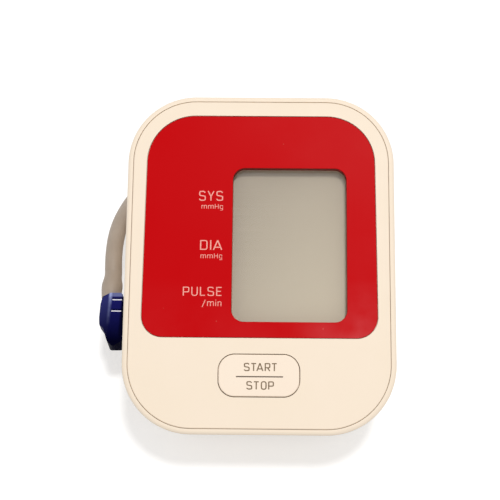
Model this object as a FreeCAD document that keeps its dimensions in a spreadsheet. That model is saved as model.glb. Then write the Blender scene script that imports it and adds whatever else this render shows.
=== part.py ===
import FreeCAD, Part
import math
import os
import re
import Sketcher
from FreeCAD import Placement, Rotation, Vector

# Home blood pressure monitor: tilted face in a tapered tub, air plug and tube on the left.
# Frame: origin under the middle of the case on the table, X to the right, Y to the rear, Z up.
# Face frame: u along X, v up the face, n out of the face, zero on the face's outer surface.

SIZES = {
    # Face and rim
    "face_tilt": 20.0,
    "overall_height": 80.0,
    "rim_width": 103.0,
    "rim_length": 130.0,
    "rim_corner": 26.3,
    "rim_land": 2.1,
    "rim_round": 1.6,
    "band_depth": 9.0,
    "seam_gap": 0.14,
    "seat_ledge": 0.9,
    # Tub below the rim
    "base_inset": 7.5,
    "base_setback": 12.0,
    "base_corner": 21.0,
    "base_round": 3.0,
    "base_shift": 3.5,
    "belly_inset": 2.5,
    "belly_setback": 7.5,
    "belly_corner": 24.0,
    "belly_shift": 2.0,
    "belly_height_share": 0.49,
    "case_wall": 2.4,
    "case_floor": 2.4,
    "cut_overrun": 2.0,
    # Feet
    "foot_drop": 1.2,
    "foot_radius": 4.0,
    "foot_chamfer": 0.5,
    "foot_sink": 0.9,
    "foot_slack": 0.1,
    "foot_front_inset": 11.0,
    "foot_front_setback": 11.5,
    "foot_rear_inset": 22.0,
    "foot_rear_setback": 8.5,
    # Screw posts and screws
    "post_radius": 4.0,
    "post_front_room": 6.7,
    "post_front_setback": 6.5,
    "post_front_drop": 12.5,
    "post_rear_room": 0.3,
    "post_rear_setback": 11.5,
    "post_rear_drop": 13.2,
    "post_shelf": 2.4,
    "well_radius": 2.9,
    "boss_radius": 3.2,
    "screw_radius": 1.3,
    "screw_slack": 0.1,
    "screw_head_radius": 2.5,
    "screw_head_height": 1.8,
    "screw_bite": 6.0,
    "board_screw_radius": 1.0,
    "board_screw_head": 2.0,
    "board_screw_cap": 1.4,
    "board_screw_bite": 5.0,
    # Front cover
    "cover_wall": 2.4,
    "cover_edge": 0.5,
    "panel_low_side": 7.0,
    "panel_top_side": 7.55,
    "panel_length": 86.1,
    "panel_low_corner": 8.0,
    "panel_top_corner": 18.5,
    "panel_head": 8.05,
    "panel_thick": 0.8,
    "panel_sink": 0.2,
    "panel_gap": 0.2,
    "panel_edge": 0.2,
    "lip_depth": 2.6,
    # Display stack
    "window_width": 43.7,
    "window_length": 59.4,
    "window_corner": 4.7,
    "window_side": 11.45,
    "window_head": 20.75,
    "window_reveal": 0.3,
    "lens_margin": 1.8,
    "lens_thick": 1.2,
    "lens_slack": 0.1,
    "rim_rib": 1.6,
    "lcd_depth": 5.6,
    "lcd_margin": 1.8,
    "lcd_thick": 2.8,
    "lcd_gap": 0.1,
    "holder_wall": 1.4,
    "holder_slack": 0.2,
    "holder_ledge": 1.5,
    "strip_width": 2.2,
    "strip_inset": 1.2,
    # Circuit board
    "board_depth": 12.0,
    "board_thick": 1.6,
    "board_inset": 8.5,
    "board_head": 24.5,
    "board_foot": 25.0,
    "tongue_width": 32.0,
    "tongue_reach": 12.0,
    "board_post_inset": 3.0,
    "board_post_setback": 10.0,
    "board_post_radius": 2.4,
    "chip_size": 11.0,
    "chip_thick": 1.4,
    "chip_offset": 10.0,
    "buzzer_radius": 6.0,
    "buzzer_height": 3.0,
    "buzzer_hole": 1.0,
    "buzzer_offset": 10.0,
    # Start and stop button with its switch
    "button_width": 30.2,
    "button_length": 15.5,
    "button_corner": 6.0,
    "button_foot": 21.8,
    "button_gap": 0.32,
    "button_proud": 0.15,
    "button_edge": 0.5,
    "flange_gap": 0.2,
    "flange_thick": 1.2,
    "flange_lap": 1.2,
    "plunger_radius": 2.2,
    "switch_side": 6.2,
    "switch_height": 3.6,
    "stem_radius": 1.6,
    "stem_slack": 0.1,
    "stem_rise": 1.3,
    "stem_sink": 1.2,
    "switch_travel": 0.8,
    "switch_spare": 0.2,
    # Batteries and their bay
    "cell_radius": 7.15,
    "cell_length": 49.5,
    "nub_radius": 2.7,
    "nub_height": 1.0,
    "cell_pitch": 15.1,
    "cell_slack": 0.3,
    "contact_thick": 0.5,
    "contact_width": 9.0,
    "contact_arm": 3.0,
    "bay_wall": 1.8,
    "bay_roof": 1.8,
    "bay_shift": 3.0,
    "door_wall": 1.4,
    "door_lap": 1.6,
    "door_gap": 0.25,
    "door_head_gap": 0.1,
    "door_rib": 1.0,
    "door_rib_wall": 1.2,
    "door_rib_inset": 2.0,
    "grip_width": 22.0,
    "grip_depth": 0.5,
    "grip_bar": 1.0,
    "grip_pitch": 2.4,
    "thumb_radius": 9.0,
    "thumb_depth": 1.0,
    "thumb_reach": 4.0,
    # Air jack in the left wall
    "jack_y": 13.0,
    "jack_z": 28.0,
    "jack_inset": 0.7,
    "jack_radius": 6.0,
    "jack_slack": 0.15,
    "jack_flange_radius": 8.0,
    "jack_flange_inset": 6.6,
    "jack_flange_thick": 2.0,
    "jack_bore": 2.55,
    "jack_bore_depth": 10.8,
    "jack_end_wall": 1.0,
    "nipple_radius": 2.2,
    "nipple_length": 6.0,
    "nipple_gap": 1.0,
    "air_bore": 1.1,
    "seal_radius": 3.7,
    "seal_thick": 1.6,
    "seal_inset": 3.0,
    "seal_slack": 0.05,
    # Inner air tubes and manifold
    "hose_radius": 3.4,
    "hose_slack": 0.05,
    "manifold_size": 10.0,
    "manifold_head": 4.6,
    "sensor_size": 8.0,
    "sensor_height": 4.6,
    "sensor_cap": 1.2,
    "sensor_step": 1.0,
    # Pump
    "pump_setback": 14.5,
    "pump_left": 24.0,
    "pump_cap_length": 6.0,
    "pump_head_length": 15.0,
    "pump_head_radius": 13.2,
    "pump_cavity": 11.0,
    "pump_end_wall": 1.5,
    "diaphragm_thick": 1.2,
    "cup_radius": 3.2,
    "cup_length": 4.4,
    "cup_orbit": 6.2,
    "motor_radius": 12.0,
    "motor_length": 26.0,
    "motor_boss_radius": 5.0,
    "motor_boss_length": 2.0,
    "motor_tag_width": 2.0,
    "motor_tag_reach": 3.5,
    "motor_tag_thick": 0.6,
    "motor_tag_spread": 7.5,
    "shaft_radius": 1.0,
    "shaft_slack": 0.08,
    "shaft_depth": 4.0,
    "crank_radius": 5.0,
    "crank_thick": 3.0,
    "crank_gap": 1.0,
    "pin_radius": 1.2,
    "pin_offset": 2.6,
    "pin_length": 2.4,
    "cradle_length": 18.0,
    "cradle_width": 20.0,
    "cradle_grip": 5.0,
    "cradle_slack": 0.05,
    # Exhaust valve
    "valve_left": 4.0,
    "valve_length": 22.0,
    "valve_width": 13.0,
    "valve_wall": 1.5,
    "coil_radius": 5.6,
    "coil_bore": 2.6,
    "coil_gap": 0.3,
    "armature_radius": 2.45,
    "armature_length": 15.0,
    "valve_travel": 0.9,
    "valve_seat_gap": 0.4,
    "valve_port_length": 8.0,
    # DC socket in the right wall
    "socket_y": 20.0,
    "socket_lift": 1.4,
    "socket_inset": 2.6,
    "socket_radius": 4.4,
    "socket_slack": 0.15,
    "socket_bore": 2.9,
    "socket_bore_depth": 9.0,
    "socket_pin": 1.0,
    "socket_pin_depth": 1.5,
    "socket_snout": 6.0,
    "socket_body": 8.6,
    "socket_depth": 14.5,
    # Air plug
    "plug_reach": 13.4,
    "plug_rear": 9.6,
    "plug_front": 12.3,
    "plug_height": 12.0,
    "plug_root_width": 33.0,
    "plug_root_corner": 1.0,
    "plug_root_over": 4.0,
    "plug_tip_width": 4.2,
    "plug_tip_corner": 1.6,
    "plug_corner": 1.8,
    "plug_front_round": 5.0,
    "plug_rear_round": 0.6,
    "plug_neck_length": 5.0,
    "plug_neck_width": 12.0,
    "plug_neck_height": 9.0,
    "plug_shoulder_gap": 0.7,
    "plug_groove_reach": 7.8,
    "plug_groove_length": 5.0,
    "plug_groove_width": 1.2,
    "plug_groove_depth": 0.7,
    "plug_groove_rear": 6.0,
    "plug_groove_pitch": 5.0,
    "nose_radius": 2.47,
    "nose_length": 8.8,
    "tube_axis": 9.5,
    # Air tube, its coil and the cuff end
    "tube_radius": 3.25,
    "tube_bore": 1.9,
    "collar_radius": 4.25,
    "collar_mouth_radius": 3.95,
    "collar_length": 11.8,
    "collar_swell": 8.6,
    "barb_length": 7.0,
    "barb_root": 2.0,
    "barb_slack": 0.05,
    "coil_level": 3.95,
    "lead_one_y": 21.0,
    "lead_two_x": -61.8,
    "lead_two_y": 37.0,
    "lead_two_z": 22.5,
    "lead_three_x": -60.6,
    "lead_three_y": 51.0,
    "lead_three_z": 14.8,
    "lead_four_x": -56.2,
    "lead_four_y": 65.0,
    "lead_four_z": 7.2,
    "coil_entry_run": 18.0,
    "coil_entry_turn": 16.0,
    "coil_left_x": -21.5,
    "coil_fold": 26.2,
    "coil_pitch": 7.3,
    "coil_mid_y": 88.5,
    "coil_right_x": 31.0,
    "coil_step_x": 4.2,
    "coil_tail_run": 10.0,
    "coil_tail_radius": 40.0,
    "coil_tail_turn": 35.0,
    "tie_width": 5.0,
    "tie_thick": 0.6,
    "tie_slack": 0.1,
    "tie_x": 26.0,
    "fitting_radius": 3.9,
    "fitting_length": 14.0,
    "port_radius": 2.6,
    "port_length": 8.0,
    "port_root": 2.0,
    "port_flange_radius": 3.4,
    "port_flange_height": 5.6,
}

# Sizes that follow from the driving ones
DERIVED = {
    "face_y": "(rim_length/2 - rim_round)*cos(face_tilt)/2 - rim_round*sin(face_tilt)/2 + rim_round/2"
              " - rim_length/4*cos(face_tilt) - band_depth*sin(face_tilt)/2",
    "face_z": "overall_height - (rim_length/2 - rim_round)*sin(face_tilt) + rim_round*cos(face_tilt)"
              " - rim_round",
    "neck_y": "face_y + band_depth*sin(face_tilt)",
    "neck_z": "face_z - band_depth*cos(face_tilt)",
    "base_width": "rim_width - 2*base_inset",
    "base_length": "rim_length - 2*base_setback",
    "base_front": "base_length/2 - base_shift",
    "base_rear": "base_length/2 + base_shift",
    "belly_width": "rim_width - 2*belly_inset",
    "belly_length": "rim_length - 2*belly_setback",
    "belly_tilt": "face_tilt/2",
    "belly_height": "foot_drop + belly_height_share*(neck_z - foot_drop)",
    "foot_front_x": "base_width/2 - foot_front_inset",
    "foot_front_y": "base_front - foot_front_setback",
    "foot_rear_x": "base_width/2 - foot_rear_inset",
    "foot_rear_y": "base_rear - foot_rear_setback",
    "post_front_x": "button_width/2 + post_front_room",
    "post_front_y": "base_front - post_front_setback",
    "post_front_top": "face_z - (post_front_y + face_y)*tan(face_tilt) - post_front_drop",
    "post_rear_x": "motor_start + motor_length + motor_tag_reach + post_radius + post_rear_room",
    "post_rear_y": "base_rear - post_rear_setback",
    "post_rear_top": "face_z + (post_rear_y - face_y)*tan(face_tilt) - post_rear_drop",
    "neck_inset": "rim_land + seat_ledge",
    "neck_in_width": "rim_width - 2*neck_inset",
    "neck_in_length": "rim_length - 2*neck_inset",
    "neck_in_corner": "rim_corner - neck_inset",
    "belly_in_width": "belly_width - 2*case_wall",
    "belly_in_length": "belly_length - 2*case_wall",
    "belly_in_corner": "belly_corner - case_wall",
    "floor_in_width": "base_width - 2*case_wall",
    "floor_in_length": "base_length - 2*case_wall",
    "floor_in_corner": "base_corner - case_wall",
    "floor_top": "foot_drop + case_floor",
    "well_cover_width": "rim_width - 2*rim_land",
    "well_cover_length": "rim_length - 2*rim_land",
    "well_cover_corner": "rim_corner - rim_land",
    "cover_width": "well_cover_width - 2*seam_gap",
    "cover_length": "well_cover_length - 2*seam_gap",
    "cover_corner": "well_cover_corner - seam_gap",
    "panel_low_width": "rim_width - 2*panel_low_side",
    "panel_top_width": "rim_width - 2*panel_top_side",
    "panel_up": "rim_length/2 - panel_head - panel_length/2",
    "window_right": "panel_low_width/2 - window_side - window_width/2",
    "window_up": "panel_up + panel_length/2 - window_head - window_length/2",
    "recess_depth": "panel_thick + panel_sink",
    "recess_low_width": "panel_low_width + 2*panel_gap",
    "recess_top_width": "panel_top_width + 2*panel_gap",
    "recess_length": "panel_length + 2*panel_gap",
    "recess_low_corner": "panel_low_corner + panel_gap",
    "recess_top_corner": "panel_top_corner + panel_gap",
    "opening_width": "window_width + 2*window_reveal",
    "opening_length": "window_length + 2*window_reveal",
    "opening_corner": "window_corner + window_reveal",
    "lens_width": "window_width + 2*lens_margin",
    "lens_length": "window_length + 2*lens_margin",
    "lens_corner": "window_corner + lens_margin",
    "lens_seat_width": "lens_width + 2*lens_slack",
    "lens_seat_length": "lens_length + 2*lens_slack",
    "lens_seat_corner": "lens_corner + lens_slack",
    "lip_low": "recess_depth + lip_depth",
    "lens_low": "lip_low + lens_thick",
    "rib_width": "lens_width + 2*rim_rib",
    "rib_length": "lens_length + 2*rim_rib",
    "rib_corner": "lens_corner + rim_rib",
    "rib_low": "lcd_depth - lcd_gap",
    "lcd_width": "window_width + 2*lcd_margin",
    "lcd_length": "window_length + 2*lcd_margin",
    "lcd_low": "lcd_depth + lcd_thick",
    "holder_in_width": "lcd_width + 2*holder_slack",
    "holder_in_length": "lcd_length + 2*holder_slack",
    "holder_width": "holder_in_width + 2*holder_wall",
    "holder_length": "holder_in_length + 2*holder_wall",
    "board_under": "board_depth + board_thick",
    "board_width": "rim_width - 2*board_inset",
    "board_top": "rim_length/2 - board_head",
    "board_low": "rim_length/2 - board_foot",
    "board_post_x": "board_width/2 - board_post_inset",
    "board_post_v": "board_low - board_post_setback",
    "button_down": "rim_length/2 - button_foot",
    "hole_width": "button_width + 2*button_gap",
    "hole_length": "button_length + 2*button_gap",
    "hole_corner": "button_corner + button_gap",
    "flange_width": "button_width + 2*flange_lap",
    "flange_length": "button_length + 2*flange_lap",
    "flange_corner": "button_corner + flange_lap",
    "flange_top": "cover_wall + flange_gap",
    "flange_low": "flange_top + flange_thick",
    "switch_top": "board_depth - switch_height",
    "stem_top": "switch_top - stem_rise",
    "switch_bore_depth": "stem_sink + switch_travel + switch_spare",
    "cell_middle": "floor_top + cell_slack + cell_radius",
    "bay_width": "3*cell_pitch + 2*cell_radius + 2*cell_slack",
    "bay_length": "cell_length + nub_height + contact_arm + 2*contact_thick + cell_slack",
    "bay_ceiling": "cell_middle + cell_radius + cell_slack",
    "bay_top": "bay_ceiling + bay_roof",
    "bay_front": "-bay_length/2 - bay_shift",
    "bay_rear": "bay_length/2 - bay_shift",
    "door_width": "bay_width + 2*door_lap - 2*door_gap",
    "door_length": "bay_length + 2*door_lap - 2*door_gap",
    "door_front": "bay_front - door_lap + door_gap",
    "door_top": "foot_drop + door_wall",
    "jack_face": "rim_width/2 - jack_inset",
    "jack_inner": "jack_face - jack_flange_inset",
    "jack_back": "jack_face - jack_bore_depth",
    "manifold_x": "-pump_left + pump_cap_length/2",
    "jack_line_length": "jack_back + manifold_x - manifold_size/2",
    "jack_nipple_length": "jack_line_length/2 - nipple_gap",
    "pump_y": "base_rear - pump_setback",
    "head_start": "-pump_left + pump_cap_length + diaphragm_thick",
    "motor_start": "head_start + pump_head_length",
    "armature_start": "valve_left + valve_wall + valve_seat_gap + valve_travel",
    "socket_face": "rim_width/2 - socket_inset",
    "socket_z": "bay_top + socket_lift + socket_body/2",
    "plug_face": "jack_face + plug_shoulder_gap",
    "plug_length": "plug_rear + plug_front",
    "plug_taper_length": "plug_reach + plug_root_over",
    "tube_x": "-plug_face - tube_axis",
    "tube_start": "-jack_y + plug_rear",
}

doc = FreeCAD.newDocument("blood_pressure_monitor")
sheet = doc.addObject("Spreadsheet::Sheet", "dim")
for row, (alias, value) in enumerate(SIZES.items(), start=1):
    sheet.set("A%d" % row, alias)
    sheet.set("B%d" % row, str(value))
    sheet.setAlias("B%d" % row, alias)
doc.recompute()

fit = doc.addObject("App::VarSet", "fit")


def qualify(text, inside_fit=False):
    """Name the sheet or the derived set in front of each size in an expression."""
    def owner(match):
        word = match.group(0)
        if word in SIZES:
            return "dim." + word
        if word in DERIVED and not inside_fit:
            return "fit." + word
        return word
    return re.sub(r"[A-Za-z_]\w*", owner, text)


for alias in DERIVED:
    fit.addProperty("App::PropertyFloat", alias, "Derived")
for alias, text in DERIVED.items():
    fit.setExpression(alias, qualify(text, inside_fit=True))
doc.recompute()


def size(name):
    """The present value of a driving or derived size."""
    return float(sheet.get(name)) if name in SIZES else float(getattr(fit, name))


def bind(obj, prop, text):
    """Tie a property to an expression of the sizes."""
    obj.setExpression(prop, qualify(text))


def shift(obj, at, prop="Placement"):
    """Tie an object's place to three expressions."""
    for axis, text in zip("xyz", at):
        if text != "0":
            bind(obj, "%s.Base.%s" % (prop, axis), text)


def block(name, lengths, corner):
    """A box from its lowest corner."""
    obj = doc.addObject("Part::Box", name)
    for prop, text in zip(("Length", "Width", "Height"), lengths):
        bind(obj, prop, text)
    shift(obj, corner)
    return obj


TURNS = {
    "x": Rotation(Vector(0, 1, 0), 90),
    "y": Rotation(Vector(1, 0, 0), -90),
    "z": Rotation(),
}


def rod(name, radius, length, start, axis="z"):
    """A cylinder that starts at a point and runs along an axis."""
    obj = doc.addObject("Part::Cylinder", name)
    obj.Placement = Placement(Vector(), TURNS[axis])
    bind(obj, "Radius", radius)
    bind(obj, "Height", length)
    shift(obj, start)
    return obj


def cone(name, first, last, length, start, axis="z"):
    """A truncated cone that starts at a point and runs along an axis."""
    obj = doc.addObject("Part::Cone", name)
    obj.Placement = Placement(Vector(), TURNS[axis])
    bind(obj, "Radius1", first)
    bind(obj, "Radius2", last)
    bind(obj, "Height", length)
    shift(obj, start)
    return obj


def fuse(name, items):
    """One object from several that touch."""
    obj = doc.addObject("Part::MultiFuse", name)
    obj.Shapes = items
    return obj


def cut(name, base, tools):
    """An object less one or more tools."""
    obj = doc.addObject("Part::Cut", name)
    obj.Base = base
    obj.Tool = tools[0] if len(tools) == 1 else fuse(name + "_tools", tools)
    return obj


def common(name, first, second):
    """What two objects share."""
    obj = doc.addObject("Part::Common", name)
    obj.Base = first
    obj.Tool = second
    return obj


def seat(obj):
    """Lay an object that is modelled flat on the tilted face."""
    obj.Placement = Placement(Vector(), Rotation(Vector(1, 0, 0), size("face_tilt")))
    bind(obj, "Placement.Rotation.Angle", "face_tilt")
    shift(obj, ("0", "face_y", "face_z"))
    return obj


def face_point(u, v, n):
    """Expressions for a point given along the face, up the face and out of it."""
    return (u, "face_y + (%s)*cos(face_tilt) - (%s)*sin(face_tilt)" % (v, n),
            "face_z + (%s)*sin(face_tilt) + (%s)*cos(face_tilt)" % (v, n))


def lay(obj, corner):
    """Turn a primitive with the face and put its start at a point of the face."""
    obj.Placement = Placement(Vector(), Rotation(Vector(1, 0, 0), size("face_tilt")))
    bind(obj, "Placement.Rotation.Angle", "face_tilt")
    shift(obj, face_point(*corner))
    return obj


def face_block(name, lengths, corner):
    """A box that stands square to the face."""
    return lay(block(name, lengths, ("0", "0", "0")), corner)


def face_rod(name, radius, length, start):
    """A cylinder that stands square to the face."""
    return lay(rod(name, radius, length, ("0", "0", "0")), start)


def new_body(name):
    """An empty body."""
    return doc.addObject("PartDesign::Body", name)


def origin_plane(owner, role):
    """One of a body's own origin planes."""
    return [item for item in owner.Origin.OriginFeatures if item.Role == role][0]


def new_sketch(owner, name, at=("0", "0", "0"), tilt=None, role="XY_Plane"):
    """A sketch on a body's origin plane, moved and tilted by named sizes."""
    sketch = owner.newObject("Sketcher::SketchObject", name)
    sketch.AttachmentSupport = [(origin_plane(owner, role), "")]
    sketch.MapMode = "FlatFace"
    if tilt:
        sketch.AttachmentOffset = Placement(Vector(), Rotation(Vector(1, 0, 0), size(tilt)))
        bind(sketch, "AttachmentOffset.Rotation.Angle", tilt)
    shift(sketch, at, "AttachmentOffset")
    return sketch


def tie(sketch, kind, elements, text, start):
    """Add a driven constraint whose value follows an expression."""
    index = sketch.addConstraint(Sketcher.Constraint(kind, *elements, start))
    bind(sketch, "Constraints[%d]" % index, text)


def rounded_outline(sketch, low_width, top_width, length, low_corner, top_corner):
    """A closed outline about the sketch's origin: four tangent arcs and four straight sides."""
    wide, narrow, tall = size(low_width), size(top_width), size(length)
    low, top = size(low_corner), size(top_corner)
    low_x, low_y = wide / 2 - low, low - tall / 2
    top_x, top_y = narrow / 2 - top, tall / 2 - top
    span = math.hypot(top_x - low_x, top_y - low_y)
    lean = math.atan2(top_y - low_y, top_x - low_x) - math.acos((low - top) / span)
    normal = Vector(math.cos(lean), math.sin(lean), 0)
    mirror = Vector(-normal.x, normal.y, 0)
    right_low = Vector(low_x, low_y, 0)
    right_top = Vector(top_x, top_y, 0)
    left_top = Vector(-top_x, top_y, 0)
    left_low = Vector(-low_x, low_y, 0)
    up = Vector(0, 1, 0)
    axis = Vector(0, 0, 1)

    def side(start, end):
        sketch.addGeometry(Part.LineSegment(start, end), False)

    def corner(middle, radius, first, last):
        circle = Part.Circle(middle, axis, radius)
        sketch.addGeometry(Part.ArcOfCircle(circle, first, last), False)

    quarter = math.pi / 2
    side(left_low - up * low, right_low - up * low)
    corner(right_low, low, -quarter, lean)
    side(right_low + normal * low, right_top + normal * top)
    corner(right_top, top, lean, quarter)
    side(right_top + up * top, left_top + up * top)
    corner(left_top, top, quarter, math.pi - lean)
    side(left_top + mirror * top, left_low + mirror * low)
    corner(left_low, low, math.pi - lean, math.pi + quarter)
    count = sketch.GeometryCount
    for index in range(count):
        after = (index + 1) % count
        sketch.addConstraint(Sketcher.Constraint("Tangent", index, 2, after, 1))
    sketch.addConstraint(Sketcher.Constraint("Equal", 1, 7))
    sketch.addConstraint(Sketcher.Constraint("Equal", 3, 5))
    sketch.addConstraint(Sketcher.Constraint("Symmetric", 7, 3, 1, 3, -2))
    sketch.addConstraint(Sketcher.Constraint("Symmetric", 5, 3, 3, 3, -2))
    tie(sketch, "Radius", (1,), low_corner, low)
    tie(sketch, "Radius", (3,), top_corner, top)
    tie(sketch, "DistanceX", (7, 3, 1, 3), "%s - 2*%s" % (low_width, low_corner), 2 * low_x)
    tie(sketch, "DistanceX", (5, 3, 3, 3), "%s - 2*%s" % (top_width, top_corner), 2 * top_x)
    tie(sketch, "DistanceY", (1, 3, 3, 3), "%s - %s - %s" % (length, low_corner, top_corner), top_y - low_y)
    tie(sketch, "DistanceY", (-1, 1, 3, 3), "%s/2 - %s" % (length, top_corner), top_y)
    return sketch


def outline(owner, name, sizes, at=("0", "0", "0"), tilt=None):
    """A rounded outline from width, length and corner, or with its own low and top values."""
    sketch = new_sketch(owner, name, at, tilt)
    if len(sizes) == 3:
        width, length, corner = sizes
        return rounded_outline(sketch, width, width, length, corner, corner)
    return rounded_outline(sketch, *sizes)


def circle_sketch(owner, name, radius, at):
    """A circle about the sketch's origin."""
    sketch = new_sketch(owner, name, at)
    sketch.addGeometry(Part.Circle(Vector(), Vector(0, 0, 1), size(radius)), False)
    sketch.addConstraint(Sketcher.Constraint("Coincident", 0, 3, -1, 1))
    tie(sketch, "Radius", (0,), radius, size(radius))
    return sketch


def pad(owner, sketch, length):
    """Raise a sketch along its normal."""
    feature = owner.newObject("PartDesign::Pad", sketch.Name + "_pad")
    feature.Profile = sketch
    bind(feature, "Length", length)
    sketch.Visibility = False
    doc.recompute()
    return feature


def pocket(owner, sketch, length):
    """Cut a sketch down against its normal."""
    before = owner.Shape.Volume
    feature = owner.newObject("PartDesign::Pocket", sketch.Name + "_pocket")
    feature.Profile = sketch
    bind(feature, "Length", length)
    sketch.Visibility = False
    doc.recompute()
    if owner.Shape.Volume >= before:
        raise RuntimeError("pocket %s takes nothing away" % sketch.Name)
    return feature


def loft(owner, name, sections):
    """A smooth body through several sections."""
    feature = owner.newObject("PartDesign::AdditiveLoft", name)
    feature.Profile = sections[0]
    feature.Sections = sections[1:]
    feature.Ruled = False
    doc.recompute()
    return feature


def round_edges(owner, name, radius, chosen):
    """Round the edges of a body's tip that a test picks."""
    tip = owner.Tip
    names = ["Edge%d" % (i + 1) for i, edge in enumerate(tip.Shape.Edges) if chosen(edge)]
    if not names:
        raise RuntimeError("no edge for %s" % name)
    feature = owner.newObject("PartDesign::Fillet", name)
    feature.Base = (tip, names)
    bind(feature, "Radius", radius)
    doc.recompute()
    return feature


def lies_at_height(level, tolerance=1e-4):
    """A test for edges that lie at one height of their own frame."""
    def chosen(edge):
        box = edge.BoundBox
        return abs(box.ZMin - level) < tolerance and abs(box.ZMax - level) < tolerance
    return chosen


def lies_on_face(edge, tolerance=1e-4):
    """Whether an edge lies on the tilted face plane."""
    tilt = math.radians(size("face_tilt"))
    normal = Vector(0, -math.sin(tilt), math.cos(tilt))
    middle = Vector(0, size("face_y"), size("face_z"))
    points = [edge.valueAt(edge.FirstParameter), edge.valueAt(edge.LastParameter)]
    return all(abs((point - middle).dot(normal)) < tolerance for point in points)


NODES = []


def node(obj, name):
    """Name a finished sub-part."""
    obj.Label = name
    NODES.append(obj)
    return obj


# Rear case: outer form
case_outer = new_body("case_outer")
base_outline = outline(case_outer, "base_outline", ("base_width", "base_length", "base_corner"),
                       ("0", "base_shift", "foot_drop"))
belly_outline = outline(case_outer, "belly_outline", ("belly_width", "belly_length", "belly_corner"),
                        ("0", "belly_shift", "belly_height"), "belly_tilt")
neck_outline = outline(case_outer, "neck_outline", ("rim_width", "rim_length", "rim_corner"),
                       ("0", "neck_y", "neck_z"), "face_tilt")
loft(case_outer, "case_tub", [base_outline, belly_outline, neck_outline])
band_outline = outline(case_outer, "band_outline", ("rim_width", "rim_length", "rim_corner"),
                       ("0", "neck_y", "neck_z"), "face_tilt")
pad(case_outer, band_outline, "band_depth")
round_edges(case_outer, "rim_fillet", "rim_round", lies_on_face)
round_edges(case_outer, "base_fillet", "base_round", lies_at_height(size("foot_drop")))

# Rear case: hollow with the seat of the front cover
case_hollow = new_body("case_hollow")
floor_inner = outline(case_hollow, "floor_inner", ("floor_in_width", "floor_in_length", "floor_in_corner"),
                      ("0", "base_shift", "floor_top"))
belly_inner = outline(case_hollow, "belly_inner", ("belly_in_width", "belly_in_length", "belly_in_corner"),
                      ("0", "belly_shift", "belly_height"), "belly_tilt")
NECK_INNER = ("neck_in_width", "neck_in_length", "neck_in_corner")
neck_inner = outline(case_hollow, "neck_inner", NECK_INNER, ("0", "neck_y", "neck_z"), "face_tilt")
loft(case_hollow, "hollow_tub", [floor_inner, belly_inner, neck_inner])
neck_room = outline(case_hollow, "neck_room", NECK_INNER, ("0", "neck_y", "neck_z"), "face_tilt")
pad(case_hollow, neck_room, "band_depth")
cover_seat = outline(case_hollow, "cover_seat",
                     ("well_cover_width", "well_cover_length", "well_cover_corner"),
                     ("0", "face_y + cover_wall*sin(face_tilt)", "face_z - cover_wall*cos(face_tilt)"),
                     "face_tilt")
pad(case_hollow, cover_seat, "cover_wall + cut_overrun")

# Rear case: battery bay, screw posts and openings
POSTS = [
    ("front_left", "-post_front_x", "-post_front_y", "post_front_top"),
    ("front_right", "post_front_x", "-post_front_y", "post_front_top"),
    ("rear_left", "-post_rear_x", "post_rear_y", "post_rear_top"),
    ("rear_right", "post_rear_x", "post_rear_y", "post_rear_top"),
]
FEET = [
    ("front_left", "-foot_front_x", "-foot_front_y"),
    ("front_right", "foot_front_x", "-foot_front_y"),
    ("rear_left", "-foot_rear_x", "foot_rear_y"),
    ("rear_right", "foot_rear_x", "foot_rear_y"),
]
bay_block = block("bay_block", ("bay_width + 2*bay_wall", "bay_length + 2*bay_wall", "bay_top - foot_drop"),
                  ("-bay_width/2 - bay_wall", "bay_front - bay_wall", "foot_drop"))
posts = [rod("post_" + place, "post_radius", top + " - foot_drop", (x, y, "foot_drop"))
         for place, x, y, top in POSTS]
case_shell = cut("case_shell", case_outer, [case_hollow])
case_full = fuse("case_full", [case_shell, bay_block] + posts)
bay_room = block("bay_room", ("bay_width", "bay_length", "bay_ceiling"), ("-bay_width/2", "bay_front", "0"))
door_seat = block("door_seat",
                  ("bay_width + 2*door_lap", "bay_length + 2*door_lap", "door_top + door_head_gap"),
                  ("-bay_width/2 - door_lap", "bay_front - door_lap", "0"))
thumb_notch = rod("thumb_notch", "thumb_radius", "foot_drop + thumb_depth",
                  ("0", "bay_rear + door_lap + thumb_reach - thumb_radius", "0"))
case_cuts = [bay_room, door_seat, thumb_notch]
for place, x, y, top in POSTS:
    case_cuts.append(rod("well_" + place, "well_radius", top + " - post_shelf", (x, y, "0")))
    case_cuts.append(rod("shelf_" + place, "screw_radius + screw_slack", top + " + cut_overrun", (x, y, "0")))
for place, x, y in FEET:
    case_cuts.append(rod("foot_seat_" + place, "foot_radius + foot_slack", "foot_drop + foot_sink",
                         (x, y, "0")))
case_cuts.append(rod("jack_hole", "jack_radius + jack_slack", "jack_face - jack_inner + 2*cut_overrun",
                     ("-jack_face - cut_overrun", "-jack_y", "jack_z"), "x"))
case_cuts.append(rod("socket_hole", "socket_radius + socket_slack", "socket_snout + 2*cut_overrun",
                     ("socket_face - socket_snout - cut_overrun", "socket_y", "socket_z"), "x"))
node(cut("rear_case_cut", case_full, case_cuts), "rear_case")

# Front cover: plate with the panel recess, the window well and the button hole
cover_plate = new_body("cover_plate")
pad(cover_plate, outline(cover_plate, "cover_outline", ("cover_width", "cover_length", "cover_corner"),
                         ("0", "0", "-cover_wall")), "cover_wall")
round_edges(cover_plate, "cover_fillet", "cover_edge", lies_at_height(0))
WINDOW = ("window_right", "window_up")
pad(cover_plate, outline(cover_plate, "window_rib", ("rib_width", "rib_length", "rib_corner"),
                         WINDOW + ("-rib_low",)), "rib_low - cover_wall")
RECESS = ("recess_low_width", "recess_top_width", "recess_length", "recess_low_corner", "recess_top_corner")
LENS_SEAT = ("lens_seat_width", "lens_seat_length", "lens_seat_corner")
OPENING = ("opening_width", "opening_length", "opening_corner")
pocket(cover_plate, outline(cover_plate, "panel_recess", RECESS, ("0", "panel_up", "0")), "recess_depth")
pocket(cover_plate, outline(cover_plate, "lens_seat", LENS_SEAT, WINDOW + ("0",)), "lens_low")
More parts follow.
